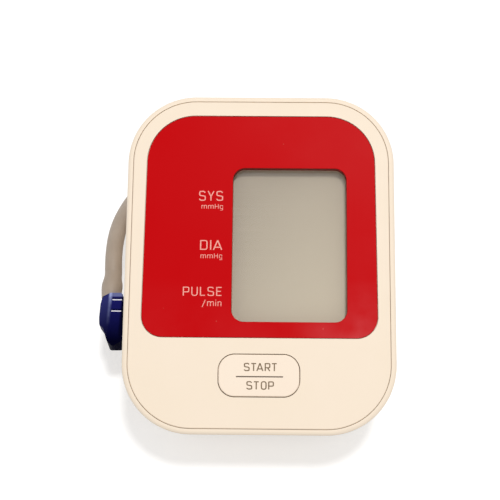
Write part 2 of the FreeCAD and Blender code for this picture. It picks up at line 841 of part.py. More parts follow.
pocket(cover_plate, outline(cover_plate, "window_opening", OPENING, WINDOW + ("0",)), "rib_low + cut_overrun")
pocket(cover_plate, outline(cover_plate, "button_hole", ("hole_width", "hole_length", "hole_corner"),
                            ("0", "-button_down", "0")), "cover_wall + cut_overrun")
seat(cover_plate)

# Front cover: bosses for the board and for the case screws
BOARD_POSTS = [
    ("low_left", "-board_post_x", "-board_post_v"),
    ("low_right", "board_post_x", "-board_post_v"),
    ("top_left", "-board_post_x", "board_post_v"),
    ("top_right", "board_post_x", "board_post_v"),
]
board_bosses = [
    face_rod("board_boss_" + place, "board_post_radius", "board_depth - cover_wall", (u, v, "-board_depth"))
    for place, u, v in BOARD_POSTS]
boss_room = face_block("boss_room", ("rim_width", "rim_length", "overall_height"),
                       ("-rim_width/2", "-rim_length/2", "-overall_height - cover_wall/2"))
case_bosses = common("case_bosses", fuse("case_boss_rods", [
    rod("case_boss_" + place, "boss_radius", "overall_height - " + top, (x, y, top))
    for place, x, y, top in POSTS]), boss_room)
cover_full = fuse("cover_full", [cover_plate, case_bosses] + board_bosses)
pilot_holes = [rod("pilot_" + place, "screw_radius + screw_slack", "screw_bite", (x, y, top))
               for place, x, y, top in POSTS]
board_pilots = [
    face_rod("board_pilot_" + place, "board_screw_radius + screw_slack", "board_screw_bite",
             (u, v, "-board_depth"))
    for place, u, v in BOARD_POSTS]
node(cut("front_cover_cut", cover_full, pilot_holes + board_pilots), "front_cover")

# Red display panel with a deep lip round its window
display_panel = new_body("display_panel_body")
PANEL = ("panel_low_width", "panel_top_width", "panel_length", "panel_low_corner", "panel_top_corner")
CUTOUT = ("window_width", "window_length", "window_corner")
LIP = ("lens_width", "lens_length", "lens_corner")
pad(display_panel, outline(display_panel, "panel_outline", PANEL, ("0", "panel_up", "-recess_depth")),
    "panel_thick")
pad(display_panel, outline(display_panel, "panel_lip", LIP, WINDOW + ("-lip_low",)), "lip_depth")
pocket(display_panel, outline(display_panel, "panel_window", CUTOUT, WINDOW + ("0",)),
       "lip_low + cut_overrun")
round_edges(display_panel, "panel_fillet", "panel_edge", lies_at_height(-size("panel_sink")))
node(seat(display_panel), "display_panel")

# Clear window lens
display_window = new_body("display_window_body")
pad(display_window, outline(display_window, "lens_outline", LIP, WINDOW + ("-lens_low",)), "lens_thick")
node(seat(display_window), "display_window")

# Display glass, its holder and the conductive rubber strips
node(face_block("lcd_glass_block", ("lcd_width", "lcd_length", "lcd_thick"),
                ("window_right - lcd_width/2", "window_up - lcd_length/2", "-lcd_low")), "lcd_glass")
holder_block = face_block("holder_block", ("holder_width", "holder_length", "board_depth - lcd_depth"),
                          ("window_right - holder_width/2", "window_up - holder_length/2", "-board_depth"))
holder_seat = face_block("holder_seat", ("holder_in_width", "holder_in_length", "lcd_thick + cut_overrun"),
                         ("window_right - holder_in_width/2", "window_up - holder_in_length/2", "-lcd_low"))
holder_room = face_block("holder_room", ("lcd_width - 2*holder_ledge", "lcd_length - 2*holder_ledge",
                                         "board_depth"),
                         ("window_right - lcd_width/2 + holder_ledge",
                          "window_up - lcd_length/2 + holder_ledge", "-board_depth - cut_overrun"))
node(cut("lcd_holder_cut", holder_block, [holder_seat, holder_room]), "lcd_holder")
STRIPS = [
    ("low", "window_up - lcd_length/2 + holder_ledge + strip_inset"),
    ("top", "window_up + lcd_length/2 - holder_ledge - strip_inset - strip_width"),
]
for place, v in STRIPS:
    node(face_block("strip_block_" + place,
                    ("lcd_width - 2*holder_ledge - 2*strip_inset", "strip_width", "board_depth - lcd_low"),
                    ("window_right - lcd_width/2 + holder_ledge + strip_inset", v, "-board_depth")),
         "contact_strip_" + place)

# Circuit board with its chip, buzzer and screws
board_main = face_block("board_main", ("board_width", "board_top + board_low", "board_thick"),
                        ("-board_width/2", "-board_low", "-board_under"))
board_tongue = face_block("board_tongue", ("tongue_width", "tongue_reach + board_thick", "board_thick"),
                          ("-tongue_width/2", "-board_low - tongue_reach", "-board_under"))
board_holes = [face_rod("board_hole_" + place, "board_screw_radius + screw_slack",
                        "board_thick + 2*cut_overrun", (u, v, "-board_under - cut_overrun"))
               for place, u, v in BOARD_POSTS]
node(cut("main_board_cut", fuse("board_full", [board_main, board_tongue]), board_holes), "main_board")
node(face_block("chip_block", ("chip_size", "chip_size", "chip_thick"),
                ("window_right - chip_offset - chip_size/2", "window_up - chip_size/2", "-board_depth")),
     "control_chip")
BUZZER = ("window_right + buzzer_offset", "window_up")
buzzer_rod = face_rod("buzzer_rod", "buzzer_radius", "buzzer_height", BUZZER + ("-board_depth",))
buzzer_mouth = face_rod("buzzer_mouth", "buzzer_hole", "buzzer_height",
                        BUZZER + ("-board_depth + buzzer_height/2",))
node(cut("buzzer_cut", buzzer_rod, [buzzer_mouth]), "buzzer")
for place, u, v in BOARD_POSTS:
    shank = face_rod("board_shank_" + place, "board_screw_radius",
                     "board_thick + board_screw_bite - screw_slack", (u, v, "-board_under"))
    cap = face_rod("board_cap_" + place, "board_screw_head", "board_screw_cap",
                   (u, v, "-board_under - board_screw_cap"))
    node(fuse("board_screw_full_" + place, [shank, cap]), "board_screw_" + place)

# Start and stop button over its switch
start_button = new_body("start_button_body")
BUTTON = ("0", "-button_down")
pad(start_button, outline(start_button, "key_outline", ("button_width", "button_length", "button_corner"),
                          BUTTON + ("-flange_top",)), "flange_top + button_proud")
round_edges(start_button, "key_fillet", "button_edge", lies_at_height(size("button_proud")))
pad(start_button, outline(start_button, "key_flange", ("flange_width", "flange_length", "flange_corner"),
                          BUTTON + ("-flange_low",)), "flange_thick")
pad(start_button, circle_sketch(start_button, "key_plunger", "plunger_radius", BUTTON + ("-stem_top",)),
    "stem_top - flange_low")
node(seat(start_button), "start_button")
switch_block = face_block("switch_block", ("switch_side", "switch_side", "switch_height"),
                          ("-switch_side/2", "-button_down - switch_side/2", "-board_depth"))
switch_bore = face_rod("switch_bore", "stem_radius + stem_slack", "switch_bore_depth + cut_overrun",
                       ("0", "-button_down", "-switch_top - switch_bore_depth"))
node(cut("switch_body_cut", switch_block, [switch_bore]), "switch_body")
node(face_rod("stem_rod", "stem_radius", "stem_rise + stem_sink",
              ("0", "-button_down", "-switch_top - stem_sink")), "switch_stem")

# Batteries side by side, with a contact at each end of each cell
CELL_X = ["-3*cell_pitch/2", "-cell_pitch/2", "cell_pitch/2", "3*cell_pitch/2"]
CELLS = list(zip(("one", "two", "three", "four"), CELL_X))
for index, (place, x) in enumerate(CELLS):
    forward = index % 2 == 0
    start = "bay_front + contact_thick + contact_arm" if forward else \
        "bay_front + contact_thick + cell_slack + nub_height"
    nub_at = start + " + cell_length" if forward else start + " - nub_height"
    can = rod("cell_can_" + place, "cell_radius", "cell_length", (x, start, "cell_middle"), "y")
    nub = rod("cell_nub_" + place, "nub_radius", "nub_height", (x, nub_at, "cell_middle"), "y")
    node(fuse("cell_full_" + place, [can, nub]), "cell_" + place)

# Cell contacts: plates that link neighbours in series, with a spring lip for each flat end
CONTACTS = [
    ("front_left", "front", CELL_X[0], CELL_X[1], CELL_X[:1]),
    ("front_right", "front", CELL_X[2], CELL_X[3], CELL_X[2:3]),
    ("rear_left", "rear", CELL_X[0], CELL_X[0], []),
    ("rear_middle", "rear", CELL_X[1], CELL_X[2], CELL_X[1:2]),
    ("rear_right", "rear", CELL_X[3], CELL_X[3], CELL_X[3:]),
]
for place, end, first, last, lips in CONTACTS:
    plate_y = "bay_front" if end == "front" else "bay_rear - contact_thick"
    lip_y = "bay_front + contact_thick" if end == "front" else "bay_rear - contact_thick - contact_arm"
    plate = block("contact_plate_" + place, ("%s - (%s) + contact_width" % (last, first), "contact_thick",
                                             "contact_width"),
                  (first + " - contact_width/2", plate_y, "cell_middle - contact_width/2"))
    bends = [block("contact_lip_" + place, ("contact_width", "contact_arm", "contact_thick"),
                   (x + " - contact_width/2", lip_y, "cell_middle - contact_thick/2")) for x in lips]
    node(fuse("contact_full_" + place, [plate] + bends) if bends else plate, "cell_contact_" + place)

# Battery door with a rounded front edge that it swings on
door_plate = block("door_plate", ("door_width", "door_length - door_wall/2", "door_wall"),
                   ("-door_width/2", "door_front + door_wall/2", "foot_drop"))
door_nose = rod("door_nose", "door_wall/2", "door_width",
                ("-door_width/2", "door_front + door_wall/2", "foot_drop + door_wall/2"), "x")
rib_outer = block("rib_outer", ("bay_width - 2*door_rib_inset", "bay_length - 2*door_rib_inset", "door_rib"),
                  ("-bay_width/2 + door_rib_inset", "bay_front + door_rib_inset", "door_top"))
rib_inner = block("rib_inner", ("bay_width - 2*door_rib_inset - 2*door_rib_wall",
                                "bay_length - 2*door_rib_inset - 2*door_rib_wall", "door_rib + cut_overrun"),
                  ("-bay_width/2 + door_rib_inset + door_rib_wall",
                   "bay_front + door_rib_inset + door_rib_wall", "door_top"))
door_rib_ring = cut("door_rib_ring", rib_outer, [rib_inner])
grips = [block("grip_%d" % step, ("grip_width", "grip_bar", "foot_drop + grip_depth"),
               ("-grip_width/2", "bay_rear - %d*grip_pitch" % step, "0")) for step in (1, 2, 3)]
door_full = fuse("door_full", [door_plate, door_nose, door_rib_ring])
node(cut("battery_door_cut", door_full, grips), "battery_door")

# Rubber feet
for place, x, y in FEET:
    tread = cone("foot_tread_" + place, "foot_radius - foot_chamfer", "foot_radius", "foot_chamfer",
                 (x, y, "0"))
    pad_rod = rod("foot_pad_" + place, "foot_radius", "foot_drop + foot_sink - foot_chamfer",
                  (x, y, "foot_chamfer"))
    node(fuse("foot_full_" + place, [tread, pad_rod]), "foot_" + place)

# Case screws up through the posts into the cover's bosses
for place, x, y, top in POSTS:
    shank = rod("case_shank_" + place, "screw_radius", "post_shelf + screw_bite - screw_slack",
                (x, y, top + " - post_shelf"))
    cap = rod("case_cap_" + place, "screw_head_radius", "screw_head_height",
              (x, y, top + " - post_shelf - screw_head_height"))
    node(fuse("case_screw_full_" + place, [shank, cap]), "case_screw_" + place)

# Air jack through the left wall, with its seal
JACK = ("-jack_y", "jack_z")
jack_parts = [
    rod("jack_barrel", "jack_radius", "jack_flange_inset", ("-jack_face",) + JACK, "x"),
    rod("jack_flange", "jack_flange_radius", "jack_flange_thick", ("-jack_inner",) + JACK, "x"),
    rod("jack_neck", "jack_radius", "jack_inner - jack_back", ("-jack_inner",) + JACK, "x"),
    rod("jack_nipple", "nipple_radius", "jack_nipple_length", ("-jack_back",) + JACK, "x"),
]
jack_cuts = [
    rod("jack_bore_rod", "jack_bore", "jack_face - jack_back - jack_end_wall", ("-jack_face",) + JACK, "x"),
    rod("jack_air", "air_bore", "jack_bore_depth + jack_nipple_length + cut_overrun",
        ("-jack_face",) + JACK, "x"),
    rod("jack_groove", "seal_radius", "seal_thick", ("-jack_face + seal_inset",) + JACK, "x"),
]
node(cut("air_jack_cut", fuse("jack_full", jack_parts), jack_cuts), "air_jack")
seal_ring = rod("seal_ring", "seal_radius - seal_slack", "seal_thick - 2*seal_slack",
                ("-jack_face + seal_inset + seal_slack",) + JACK, "x")
seal_hole = rod("seal_hole", "jack_bore", "seal_thick", ("-jack_face + seal_inset",) + JACK, "x")
node(cut("jack_seal_cut", seal_ring, [seal_hole]), "jack_seal")

# Manifold on the roof of the bay, with the pressure sensor on top
manifold_block = block("manifold_block",
                       ("manifold_size", "manifold_size", "jack_z + manifold_head - bay_top"),
                       ("manifold_x - manifold_size/2", "-jack_y - manifold_size/2", "bay_top"))
manifold_parts = [
    manifold_block,
    rod("manifold_left", "nipple_radius", "jack_nipple_length",
        ("manifold_x - manifold_size/2 - jack_nipple_length",) + JACK, "x"),
    rod("manifold_right", "nipple_radius", "nipple_length", ("manifold_x + manifold_size/2",) + JACK, "x"),
    rod("manifold_rear", "nipple_radius", "nipple_length",
        ("manifold_x", "-jack_y + manifold_size/2", "jack_z"), "y"),
]
manifold_bores = [
    rod("manifold_through", "air_bore", "manifold_size + jack_nipple_length + nipple_length + 2*cut_overrun",
        ("manifold_x - manifold_size/2 - jack_nipple_length - cut_overrun",) + JACK, "x"),
    rod("manifold_branch", "air_bore", "manifold_size/2 + nipple_length + cut_overrun",
        ("manifold_x",) + JACK, "y"),
    rod("manifold_riser", "air_bore", "manifold_head + cut_overrun", ("manifold_x",) + JACK),
]
node(cut("air_manifold_cut", fuse("manifold_full", manifold_parts), manifold_bores), "air_manifold")
sensor_body = block("sensor_body", ("sensor_size", "sensor_size", "sensor_height - sensor_cap"),
                    ("manifold_x - sensor_size/2", "-jack_y - sensor_size/2", "jack_z + manifold_head"))
sensor_lid = block("sensor_lid", ("sensor_size - 2*sensor_step", "sensor_size - 2*sensor_step", "sensor_cap"),
                   ("manifold_x - sensor_size/2 + sensor_step", "-jack_y - sensor_size/2 + sensor_step",
                    "jack_z + manifold_head + sensor_height - sensor_cap"))
node(fuse("sensor_full", [sensor_body, sensor_lid]), "pressure_sensor")


def air_line(name, length, start, axis):
    """A straight hollow tube over two nipples."""
    wall = rod(name + "_wall", "hose_radius", length, start, axis)
    bore = rod(name + "_bore", "nipple_radius + hose_slack", length, start, axis)
    return node(cut(name + "_cut", wall, [bore]), name)


air_line("jack_line", "jack_line_length", ("-jack_back",) + JACK, "x")
air_line("valve_line", "valve_left - manifold_x - manifold_size/2",
         ("manifold_x + manifold_size/2",) + JACK, "x")
air_line("pump_line", "pump_y - pump_head_radius + jack_y - manifold_size/2",
         ("manifold_x", "-jack_y + manifold_size/2", "jack_z"), "y")

# Diaphragm pump across the rear of the case
PUMP = ("pump_y", "jack_z")
pump_cap = fuse("pump_cap_full", [
    rod("pump_cap_disc", "pump_head_radius", "pump_cap_length", ("-pump_left",) + PUMP, "x"),
    rod("pump_outlet", "nipple_radius", "pump_head_radius + nipple_length",
        ("manifold_x", "pump_y - pump_head_radius - nipple_length", "jack_z"), "y"),
])
node(cut("pump_cap_cut", pump_cap, [
    rod("pump_outlet_bore", "air_bore", "pump_head_radius + nipple_length",
        ("manifold_x", "pump_y - pump_head_radius - nipple_length", "jack_z"), "y")]), "pump_cap")
CUP_TURNS = [90.0, 210.0, 330.0]
cups = [rod("cup_%d" % turn, "cup_radius", "cup_length + diaphragm_thick",
            ("-pump_left + pump_cap_length", "pump_y + cup_orbit*cos(%g)" % turn,
             "jack_z + cup_orbit*sin(%g)" % turn), "x") for turn in CUP_TURNS]
diaphragm_disc = rod("diaphragm_disc", "pump_head_radius", "diaphragm_thick",
                     ("-pump_left + pump_cap_length",) + PUMP, "x")
node(fuse("diaphragm_full", [diaphragm_disc] + cups), "pump_diaphragm")
pump_head_rod = rod("pump_head_rod", "pump_head_radius", "pump_head_length", ("head_start",) + PUMP, "x")
node(cut("pump_head_cut", pump_head_rod, [
    rod("pump_room", "pump_cavity", "pump_head_length - pump_end_wall", ("head_start",) + PUMP, "x"),
    rod("pump_shaft_hole", "shaft_radius + shaft_slack", "pump_head_length", ("head_start",) + PUMP, "x"),
]), "pump_head")
motor_tags = [block("motor_tag_" + place, ("motor_tag_reach", "motor_tag_width", "motor_tag_thick"),
                    ("motor_start + motor_length", "pump_y - motor_tag_width/2", z))
              for place, z in (("low", "jack_z - motor_tag_spread"), ("top", "jack_z + motor_tag_spread"))]
motor_can = fuse("motor_can", [
    rod("motor_rod", "motor_radius", "motor_length", ("motor_start",) + PUMP, "x"),
    rod("motor_boss", "motor_boss_radius", "motor_boss_length", ("motor_start + motor_length",) + PUMP, "x"),
] + motor_tags)
node(cut("pump_motor_cut", motor_can, [
    rod("motor_shaft_hole", "shaft_radius + shaft_slack", "shaft_depth + shaft_slack",
        ("motor_start",) + PUMP, "x"),
]), "pump_motor")
CRANK_END = "motor_start - pump_end_wall - crank_gap"
node(fuse("pump_crank_full", [
    rod("crank_shaft", "shaft_radius", "pump_end_wall + crank_gap + shaft_depth", (CRANK_END,) + PUMP, "x"),
    rod("crank_disc", "crank_radius", "crank_thick", (CRANK_END + " - crank_thick",) + PUMP, "x"),
    rod("crank_pin", "pin_radius", "pin_length",
        (CRANK_END + " - crank_thick - pin_length", "pump_y", "jack_z - pin_offset"), "x"),
]), "pump_crank")
cradle_block = block("cradle_block", ("cradle_length", "cradle_width", "jack_z - cradle_grip - floor_top"),
                     ("motor_start + motor_length/2 - cradle_length/2", "pump_y - cradle_width/2",
                      "floor_top"))
node(cut("pump_cradle_cut", cradle_block, [
    rod("cradle_seat", "motor_radius + cradle_slack", "motor_length + motor_boss_length",
        ("motor_start",) + PUMP, "x")]),
     "pump_cradle")

# Exhaust valve on the roof of the bay
yoke_block = block("yoke_block",
                   ("valve_length", "valve_width", "jack_z + coil_radius + coil_gap + valve_wall - bay_top"),
                   ("valve_left", "-jack_y - valve_width/2", "bay_top"))
yoke_room = block("yoke_room", ("valve_length - 2*valve_wall", "valve_width + 2*cut_overrun",
                                "2*coil_radius + 2*coil_gap"),
                  ("valve_left + valve_wall", "-jack_y - valve_width/2 - cut_overrun",
                   "jack_z - coil_radius - coil_gap"))
yoke_hole = rod("yoke_hole", "nipple_radius + hose_slack", "valve_wall + cut_overrun",
                ("valve_left - cut_overrun",) + JACK, "x")
node(cut("valve_yoke_cut", yoke_block, [yoke_room, yoke_hole]), "valve_yoke")
coil_rod = rod("coil_rod", "coil_radius", "valve_length - 2*valve_wall",
               ("valve_left + valve_wall",) + JACK, "x")
port_rod = rod("port_rod", "nipple_radius", "valve_port_length",
               ("valve_left + valve_wall - valve_port_length",) + JACK, "x")
coil_cuts = [
    rod("coil_bore_rod", "coil_bore", "valve_length",
        ("valve_left + valve_wall + valve_seat_gap",) + JACK, "x"),
    rod("port_bore", "air_bore", "valve_port_length + valve_length",
        ("valve_left + valve_wall - valve_port_length - cut_overrun",) + JACK, "x"),
]
node(cut("valve_coil_cut", fuse("valve_coil_full", [coil_rod, port_rod]), coil_cuts), "valve_coil")
armature_rod = rod("armature_rod", "armature_radius", "armature_length", ("armature_start",) + JACK, "x")
node(armature_rod, "valve_armature")

# DC socket through the right wall
SOCKET = ("socket_y", "socket_z")
socket_full = fuse("socket_full", [
    rod("socket_barrel", "socket_radius", "socket_snout", ("socket_face - socket_snout",) + SOCKET, "x"),
    block("socket_block", ("socket_depth - socket_snout", "socket_body", "socket_body"),
          ("socket_face - socket_depth", "socket_y - socket_body/2", "socket_z - socket_body/2")),
])
socket_hollow = cut("socket_hollow", socket_full, [
    rod("socket_bore_rod", "socket_bore", "socket_bore_depth + cut_overrun",
        ("socket_face - socket_bore_depth",) + SOCKET, "x")])
socket_pin = rod("socket_pin_rod", "socket_pin", "socket_bore_depth",
                 ("socket_face - socket_bore_depth - socket_pin_depth",) + SOCKET, "x")
node(fuse("dc_socket_full", [socket_hollow, socket_pin]), "dc_socket")

# Air plug: plan outline crossed with a tapered section and a rounded side, then its neck, nose and barb
PLUG_PLAN_SHARES = [
    (0.18, -0.87), (0.27, 1.0), (0.94, 1.0), (1.0, 0.65), (0.99, 0.08), (0.955, -0.23),
    (0.80, -0.42), (0.64, -0.905), (0.50, -1.0), (0.30, -0.93),
]
plug_plan = new_body("plug_plan")
plan_sketch = new_sketch(plug_plan, "plan_sketch", ("-plug_face", "-jack_y", "jack_z - plug_height/2"))
plan_count = len(PLUG_PLAN_SHARES)
plan_spans = ["plug_rear" if along > 0 else "plug_front" for out, along in PLUG_PLAN_SHARES]
plan_points = [Vector(-size("plug_reach") * out, size(span) * along, 0)
               for span, (out, along) in zip(plan_spans, PLUG_PLAN_SHARES)]
for index, point in enumerate(plan_points):
    plan_sketch.addGeometry(Part.LineSegment(point, plan_points[(index + 1) % plan_count]), False)
for index, (out, along) in enumerate(PLUG_PLAN_SHARES):
    point = plan_points[index]
    before = (index - 1) % plan_count
    plan_sketch.addConstraint(Sketcher.Constraint("Coincident", before, 2, index, 1))
    tie(plan_sketch, "DistanceX", (-1, 1, index, 1), "-plug_reach*%g" % out, point.x)
    tie(plan_sketch, "DistanceY", (-1, 1, index, 1), "%s*%g" % (plan_spans[index], along), point.y)
pad(plug_plan, plan_sketch, "plug_height")
round_edges(plug_plan, "plug_fillet", "plug_corner",
            lambda edge: edge.BoundBox.ZLength > size("plug_height") / 2)
plug_taper = new_body("plug_taper")
TAPER = ("plug_root_width", "plug_tip_width", "plug_taper_length", "plug_root_corner", "plug_tip_corner")
pad(plug_taper, outline(plug_taper, "taper_outline", TAPER), "plug_length + 2*cut_overrun")
plug_taper.Placement = Placement(Vector(), Rotation(Vector(0, 0, 1), Vector(-1, 0, 0), Vector(0, -1, 0)))
shift(plug_taper, ("-plug_face - plug_reach + plug_taper_length/2", "-jack_y + plug_rear + cut_overrun",
                   "jack_z"))
plug_side = new_body("plug_side")
SIDE = ("plug_height", "plug_height", "plug_length", "plug_front_round", "plug_rear_round")
pad(plug_side, outline(plug_side, "side_outline", SIDE), "plug_reach + 2*cut_overrun")
plug_side.Placement = Placement(Vector(), Rotation(Vector(0, 0, 1), Vector(0, 1, 0), Vector(-1, 0, 0)))
shift(plug_side, ("-plug_face + cut_overrun", "-jack_y + (plug_rear - plug_front)/2", "jack_z"))
plug_raw = common("plug_raw", common("plug_wedge", plug_plan, plug_taper), plug_side)
GROOVE_COUNT = 2
plug_grooves = [block("plug_groove_%d" % index, ("plug_groove_length", "plug_groove_width", "plug_height"),
                      ("-plug_face - plug_groove_reach",
                       "-jack_y + plug_groove_rear - plug_groove_pitch*%d" % index,
                       "jack_z + plug_height/2 - plug_groove_depth"))
                for index in range(GROOVE_COUNT)]
plug_grip = cut("plug_grip", plug_raw, plug_grooves)
node(fuse("air_plug_full", [
    plug_grip,
    block("plug_neck", ("plug_neck_length", "plug_neck_width", "plug_neck_height"),
          ("-plug_face - plug_neck_length", "-jack_y - plug_neck_width/2", "jack_z - plug_neck_height/2")),
    rod("plug_nose", "nose_radius", "plug_shoulder_gap + nose_length", ("-plug_face",) + JACK, "x"),
    rod("plug_barb", "tube_bore - barb_slack", "barb_root + barb_length",
        ("tube_x", "tube_start - barb_root", "jack_z"), "y"),
]), "air_plug")

# Swollen end of the tube over the barb
collar_wall = fuse("collar_wall", [
    cone("collar_mouth", "collar_mouth_radius", "collar_radius", "collar_swell",
         ("tube_x", "tube_start", "jack_z"), "y"),
    cone("collar_tail", "collar_radius", "tube_radius", "collar_length - collar_swell",
         ("tube_x", "tube_start + collar_swell", "jack_z"), "y"),
])
node(cut("tube_collar_cut", collar_wall, [
    rod("collar_bore", "tube_bore", "barb_length", ("tube_x", "tube_start", "jack_z"), "y")]), "tube_collar")

# Air tube: straight runs joined by tangent arcs, down to the table and round to the coil
LEVEL = size("coil_level")
fold, pitch = size("coil_fold"), size("coil_pitch")
left_x, right_x, middle_y = size("coil_left_x"), size("coil_right_x"), size("coil_mid_y")
entry = math.radians(size("coil_entry_turn"))
entry_way = Vector(math.sin(entry), math.cos(entry), 0)
end_run = 2 * size("tube_radius")
bend_start = Vector(left_x - fold * math.cos(entry), middle_y + fold * math.sin(entry), LEVEL)
coil_start = bend_start - entry_way * end_run
ROUTE = [
    Vector(size("tube_x"), size("tube_start") + size("collar_length"), size("jack_z")),
    Vector(size("tube_x"), size("lead_one_y"), size("jack_z")),
    Vector(size("lead_two_x"), size("lead_two_y"), size("lead_two_z")),
    Vector(size("lead_three_x"), size("lead_three_y"), size("lead_three_z")),
    Vector(size("lead_four_x"), size("lead_four_y"), size("lead_four_z")),
    bend_start - entry_way * size("coil_entry_run"),
    coil_start,
]
BEND_SHARE = 0.45


def route_edges(points):
    """Straight runs with the largest tangent arcs that the runs allow."""
    edges = []
    start = points[0]
    for before, corner_point, after in zip(points, points[1:], points[2:]):
        come = (corner_point - before).normalize()
        leave = (after - corner_point).normalize()
        turn = come.getAngle(leave)
        reach = BEND_SHARE * min(corner_point.distanceToPoint(before), corner_point.distanceToPoint(after))
        radius = reach / math.tan(turn / 2)
        print("tube bend radius %.1f mm, turn %.1f degrees" % (radius, math.degrees(turn)))
        first, last = corner_point - come * reach, corner_point + leave * reach
        inward = (leave - come).normalize()
        middle = corner_point + inward * (radius / math.cos(turn / 2) - radius)
        edges.append(Part.LineSegment(start, first).toShape())
        edges.append(Part.Arc(first, middle, last).toShape())
        start = last
    edges.append(Part.LineSegment(start, points[-1]).toShape())
    return edges


def swept_tube(name, edges):
    """A round tube along a chain of edges, as one solid."""
    path = Part.Wire(edges)
    first = edges[0]
    way = first.tangentAt(first.FirstParameter)
    ring = Part.Wire(Part.makeCircle(size("tube_radius"), first.valueAt(first.FirstParameter), way))
    shape = path.makePipeShell([ring], True, False)
    expected = math.pi * size("tube_radius") ** 2 * path.Length
    ratio = shape.Volume / expected
    print("%s: length %.1f mm, volume over section times length %.4f" % (name, path.Length, ratio))
    obj = doc.addObject("Part::Feature", name + "_sweep")
    obj.Shape = shape
    return node(obj, name)


swept_tube("air_tube", route_edges(ROUTE))

# Coil: one flat spiral of two oval turns that ends in the open middle


def level_arc(x, y, radius, first, last):
    """An arc on the table, from one heading angle to another, run clockwise."""
    def at(angle):
        return Vector(x + radius * math.cos(angle), y + radius * math.sin(angle), LEVEL)
    return Part.Arc(at(first), at((first + last) / 2), at(last)).toShape()


def level_run(x_from, x_to, y):
    """A straight run on the table along X."""
    return Part.LineSegment(Vector(x_from, y, LEVEL), Vector(x_to, y, LEVEL)).toShape()


TURN_COUNT = 2
quarter_turn = math.pi / 2
coil_edges = [
    Part.LineSegment(coil_start, bend_start).toShape(),
    level_arc(left_x, middle_y, fold, math.pi - entry, quarter_turn),
]
rear_y, front_y, run_start = middle_y + fold, middle_y - fold, left_x
for turn in range(TURN_COUNT):
    coil_edges.append(level_run(run_start, right_x, rear_y))
    coil_edges.append(level_arc(right_x, (rear_y + front_y) / 2, (rear_y - front_y) / 2,
                                quarter_turn, -quarter_turn))
    if turn + 1 < TURN_COUNT:
        run_start = left_x + size("coil_step_x")
        coil_edges.append(level_run(right_x, run_start, front_y))
        rear_y = rear_y - pitch
        coil_edges.append(level_arc(run_start, (rear_y + front_y) / 2, (rear_y - front_y) / 2,
                                    -quarter_turn, -3 * quarter_turn))
        front_y = front_y + pitch
tail_x = right_x - size("coil_tail_run")
tail_radius, tail_turn = size("coil_tail_radius"), math.radians(size("coil_tail_turn"))
coil_edges.append(level_run(right_x, tail_x, front_y))
coil_edges.append(level_arc(tail_x, front_y + tail_radius, tail_radius,
                            -quarter_turn, -quarter_turn - tail_turn))
tail_way = Vector(-math.cos(tail_turn), math.sin(tail_turn), 0)
tail_bend = coil_edges[-1].valueAt(coil_edges[-1].LastParameter)
tail_end = tail_bend + tail_way * end_run
coil_edges.append(Part.LineSegment(tail_bend, tail_end).toShape())
swept_tube("tube_coil", coil_edges)

samples = []
travelled = 0.0
SAMPLE_SHARE = 0.25
for edge in coil_edges:
    count = int(edge.Length / (size("tube_radius") * SAMPLE_SHARE)) + 2
    points = enumerate(edge.discretize(count))
    samples += [(travelled + edge.Length * i / count, point) for i, point in points]
    travelled += edge.Length
apart = min(a.distanceToPoint(b) for i, (s, a) in enumerate(samples) for t, b in samples[i + 1:]
            if t - s > fold)
print("tube coil: smallest gap between its turns %.2f mm" % (apart - 2 * size("tube_radius")))

# Tie round the two front runs of the coil
TIE_RUNS = ("coil_mid_y - coil_fold", "coil_mid_y - coil_fold + coil_pitch")


def tie_form(name, radius, length, start):
    """Two rods and the block between them, round two runs of the tube."""
    rods = [rod("%s_rod_%d" % (name, i), radius, length, (start, y, "coil_level"), "x")
            for i, y in enumerate(TIE_RUNS)]
    return fuse(name, rods + [block(name + "_block", (length, "coil_pitch", "2*(%s)" % radius),
                                    (start, TIE_RUNS[0], "coil_level - (%s)" % radius))])


tie_outer = tie_form("tie_outer", "tube_radius + tie_slack + tie_thick", "tie_width", "tie_x - tie_width/2")
tie_inner = tie_form("tie_inner", "tube_radius + tie_slack", "tie_width + 2*cut_overrun",
                     "tie_x - tie_width/2 - cut_overrun")
node(cut("tube_tie_cut", tie_outer, [tie_inner]), "tube_tie")

# Cuff fitting on the tube's end, with its port upright
fitting_rod = doc.addObject("Part::Cylinder", "fitting_rod")
bind(fitting_rod, "Radius", "fitting_radius")
bind(fitting_rod, "Height", "fitting_length")
fitting_rod.Placement = Placement(tail_end, Rotation(Vector(0, 0, 1), tail_way))
port_at = tail_end + tail_way * (size("fitting_length") - size("fitting_radius"))
port_foot = port_at - Vector(0, 0, size("port_root"))
PORT_STEPS = [
    ("port_flange", "port_flange_radius", "port_root + port_flange_height"),
    ("port_spigot", "port_radius", "port_root + port_flange_height + port_length"),
]
fitting_parts = [fitting_rod]
for name, radius, height in PORT_STEPS:
    step = doc.addObject("Part::Cylinder", name)
    bind(step, "Radius", radius)
    bind(step, "Height", height)
    step.Placement = Placement(port_foot, Rotation())
    fitting_parts.append(step)
node(fuse("cuff_fitting_full", fitting_parts), "cuff_fitting")

# Check and write every sub-part
doc.recompute()
for obj in doc.Objects:
    if "Invalid" in obj.State or "Error" in obj.State:
        raise RuntimeError("object %s is %s" % (obj.Name, obj.State))
os.makedirs("parts", exist_ok=True)
for obj in NODES:
    shape = obj.Shape
    if shape.isNull() or not shape.isValid() or shape.Volume <= 0:
        raise RuntimeError("sub-part %s has no valid solid" % obj.Label)
    shape.exportStep("parts/%s.step" % obj.Label)
    print("%s: %d solid, %.0f cubic mm" % (obj.Label, len(shape.Solids), shape.Volume))
print("%d sub-parts" % len(NODES))
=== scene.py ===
"""Home blood pressure monitor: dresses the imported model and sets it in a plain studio.

Lengths are in metres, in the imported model's frame: X to the right, Y to the rear, Z up.
The turns of the hose and of the camera are in degrees.
"""

import logging
import math
from dataclasses import dataclass
from enum import Enum
from functools import cache, cached_property
from typing import Any

import bmesh
import bpy
from mathutils import Matrix, Vector


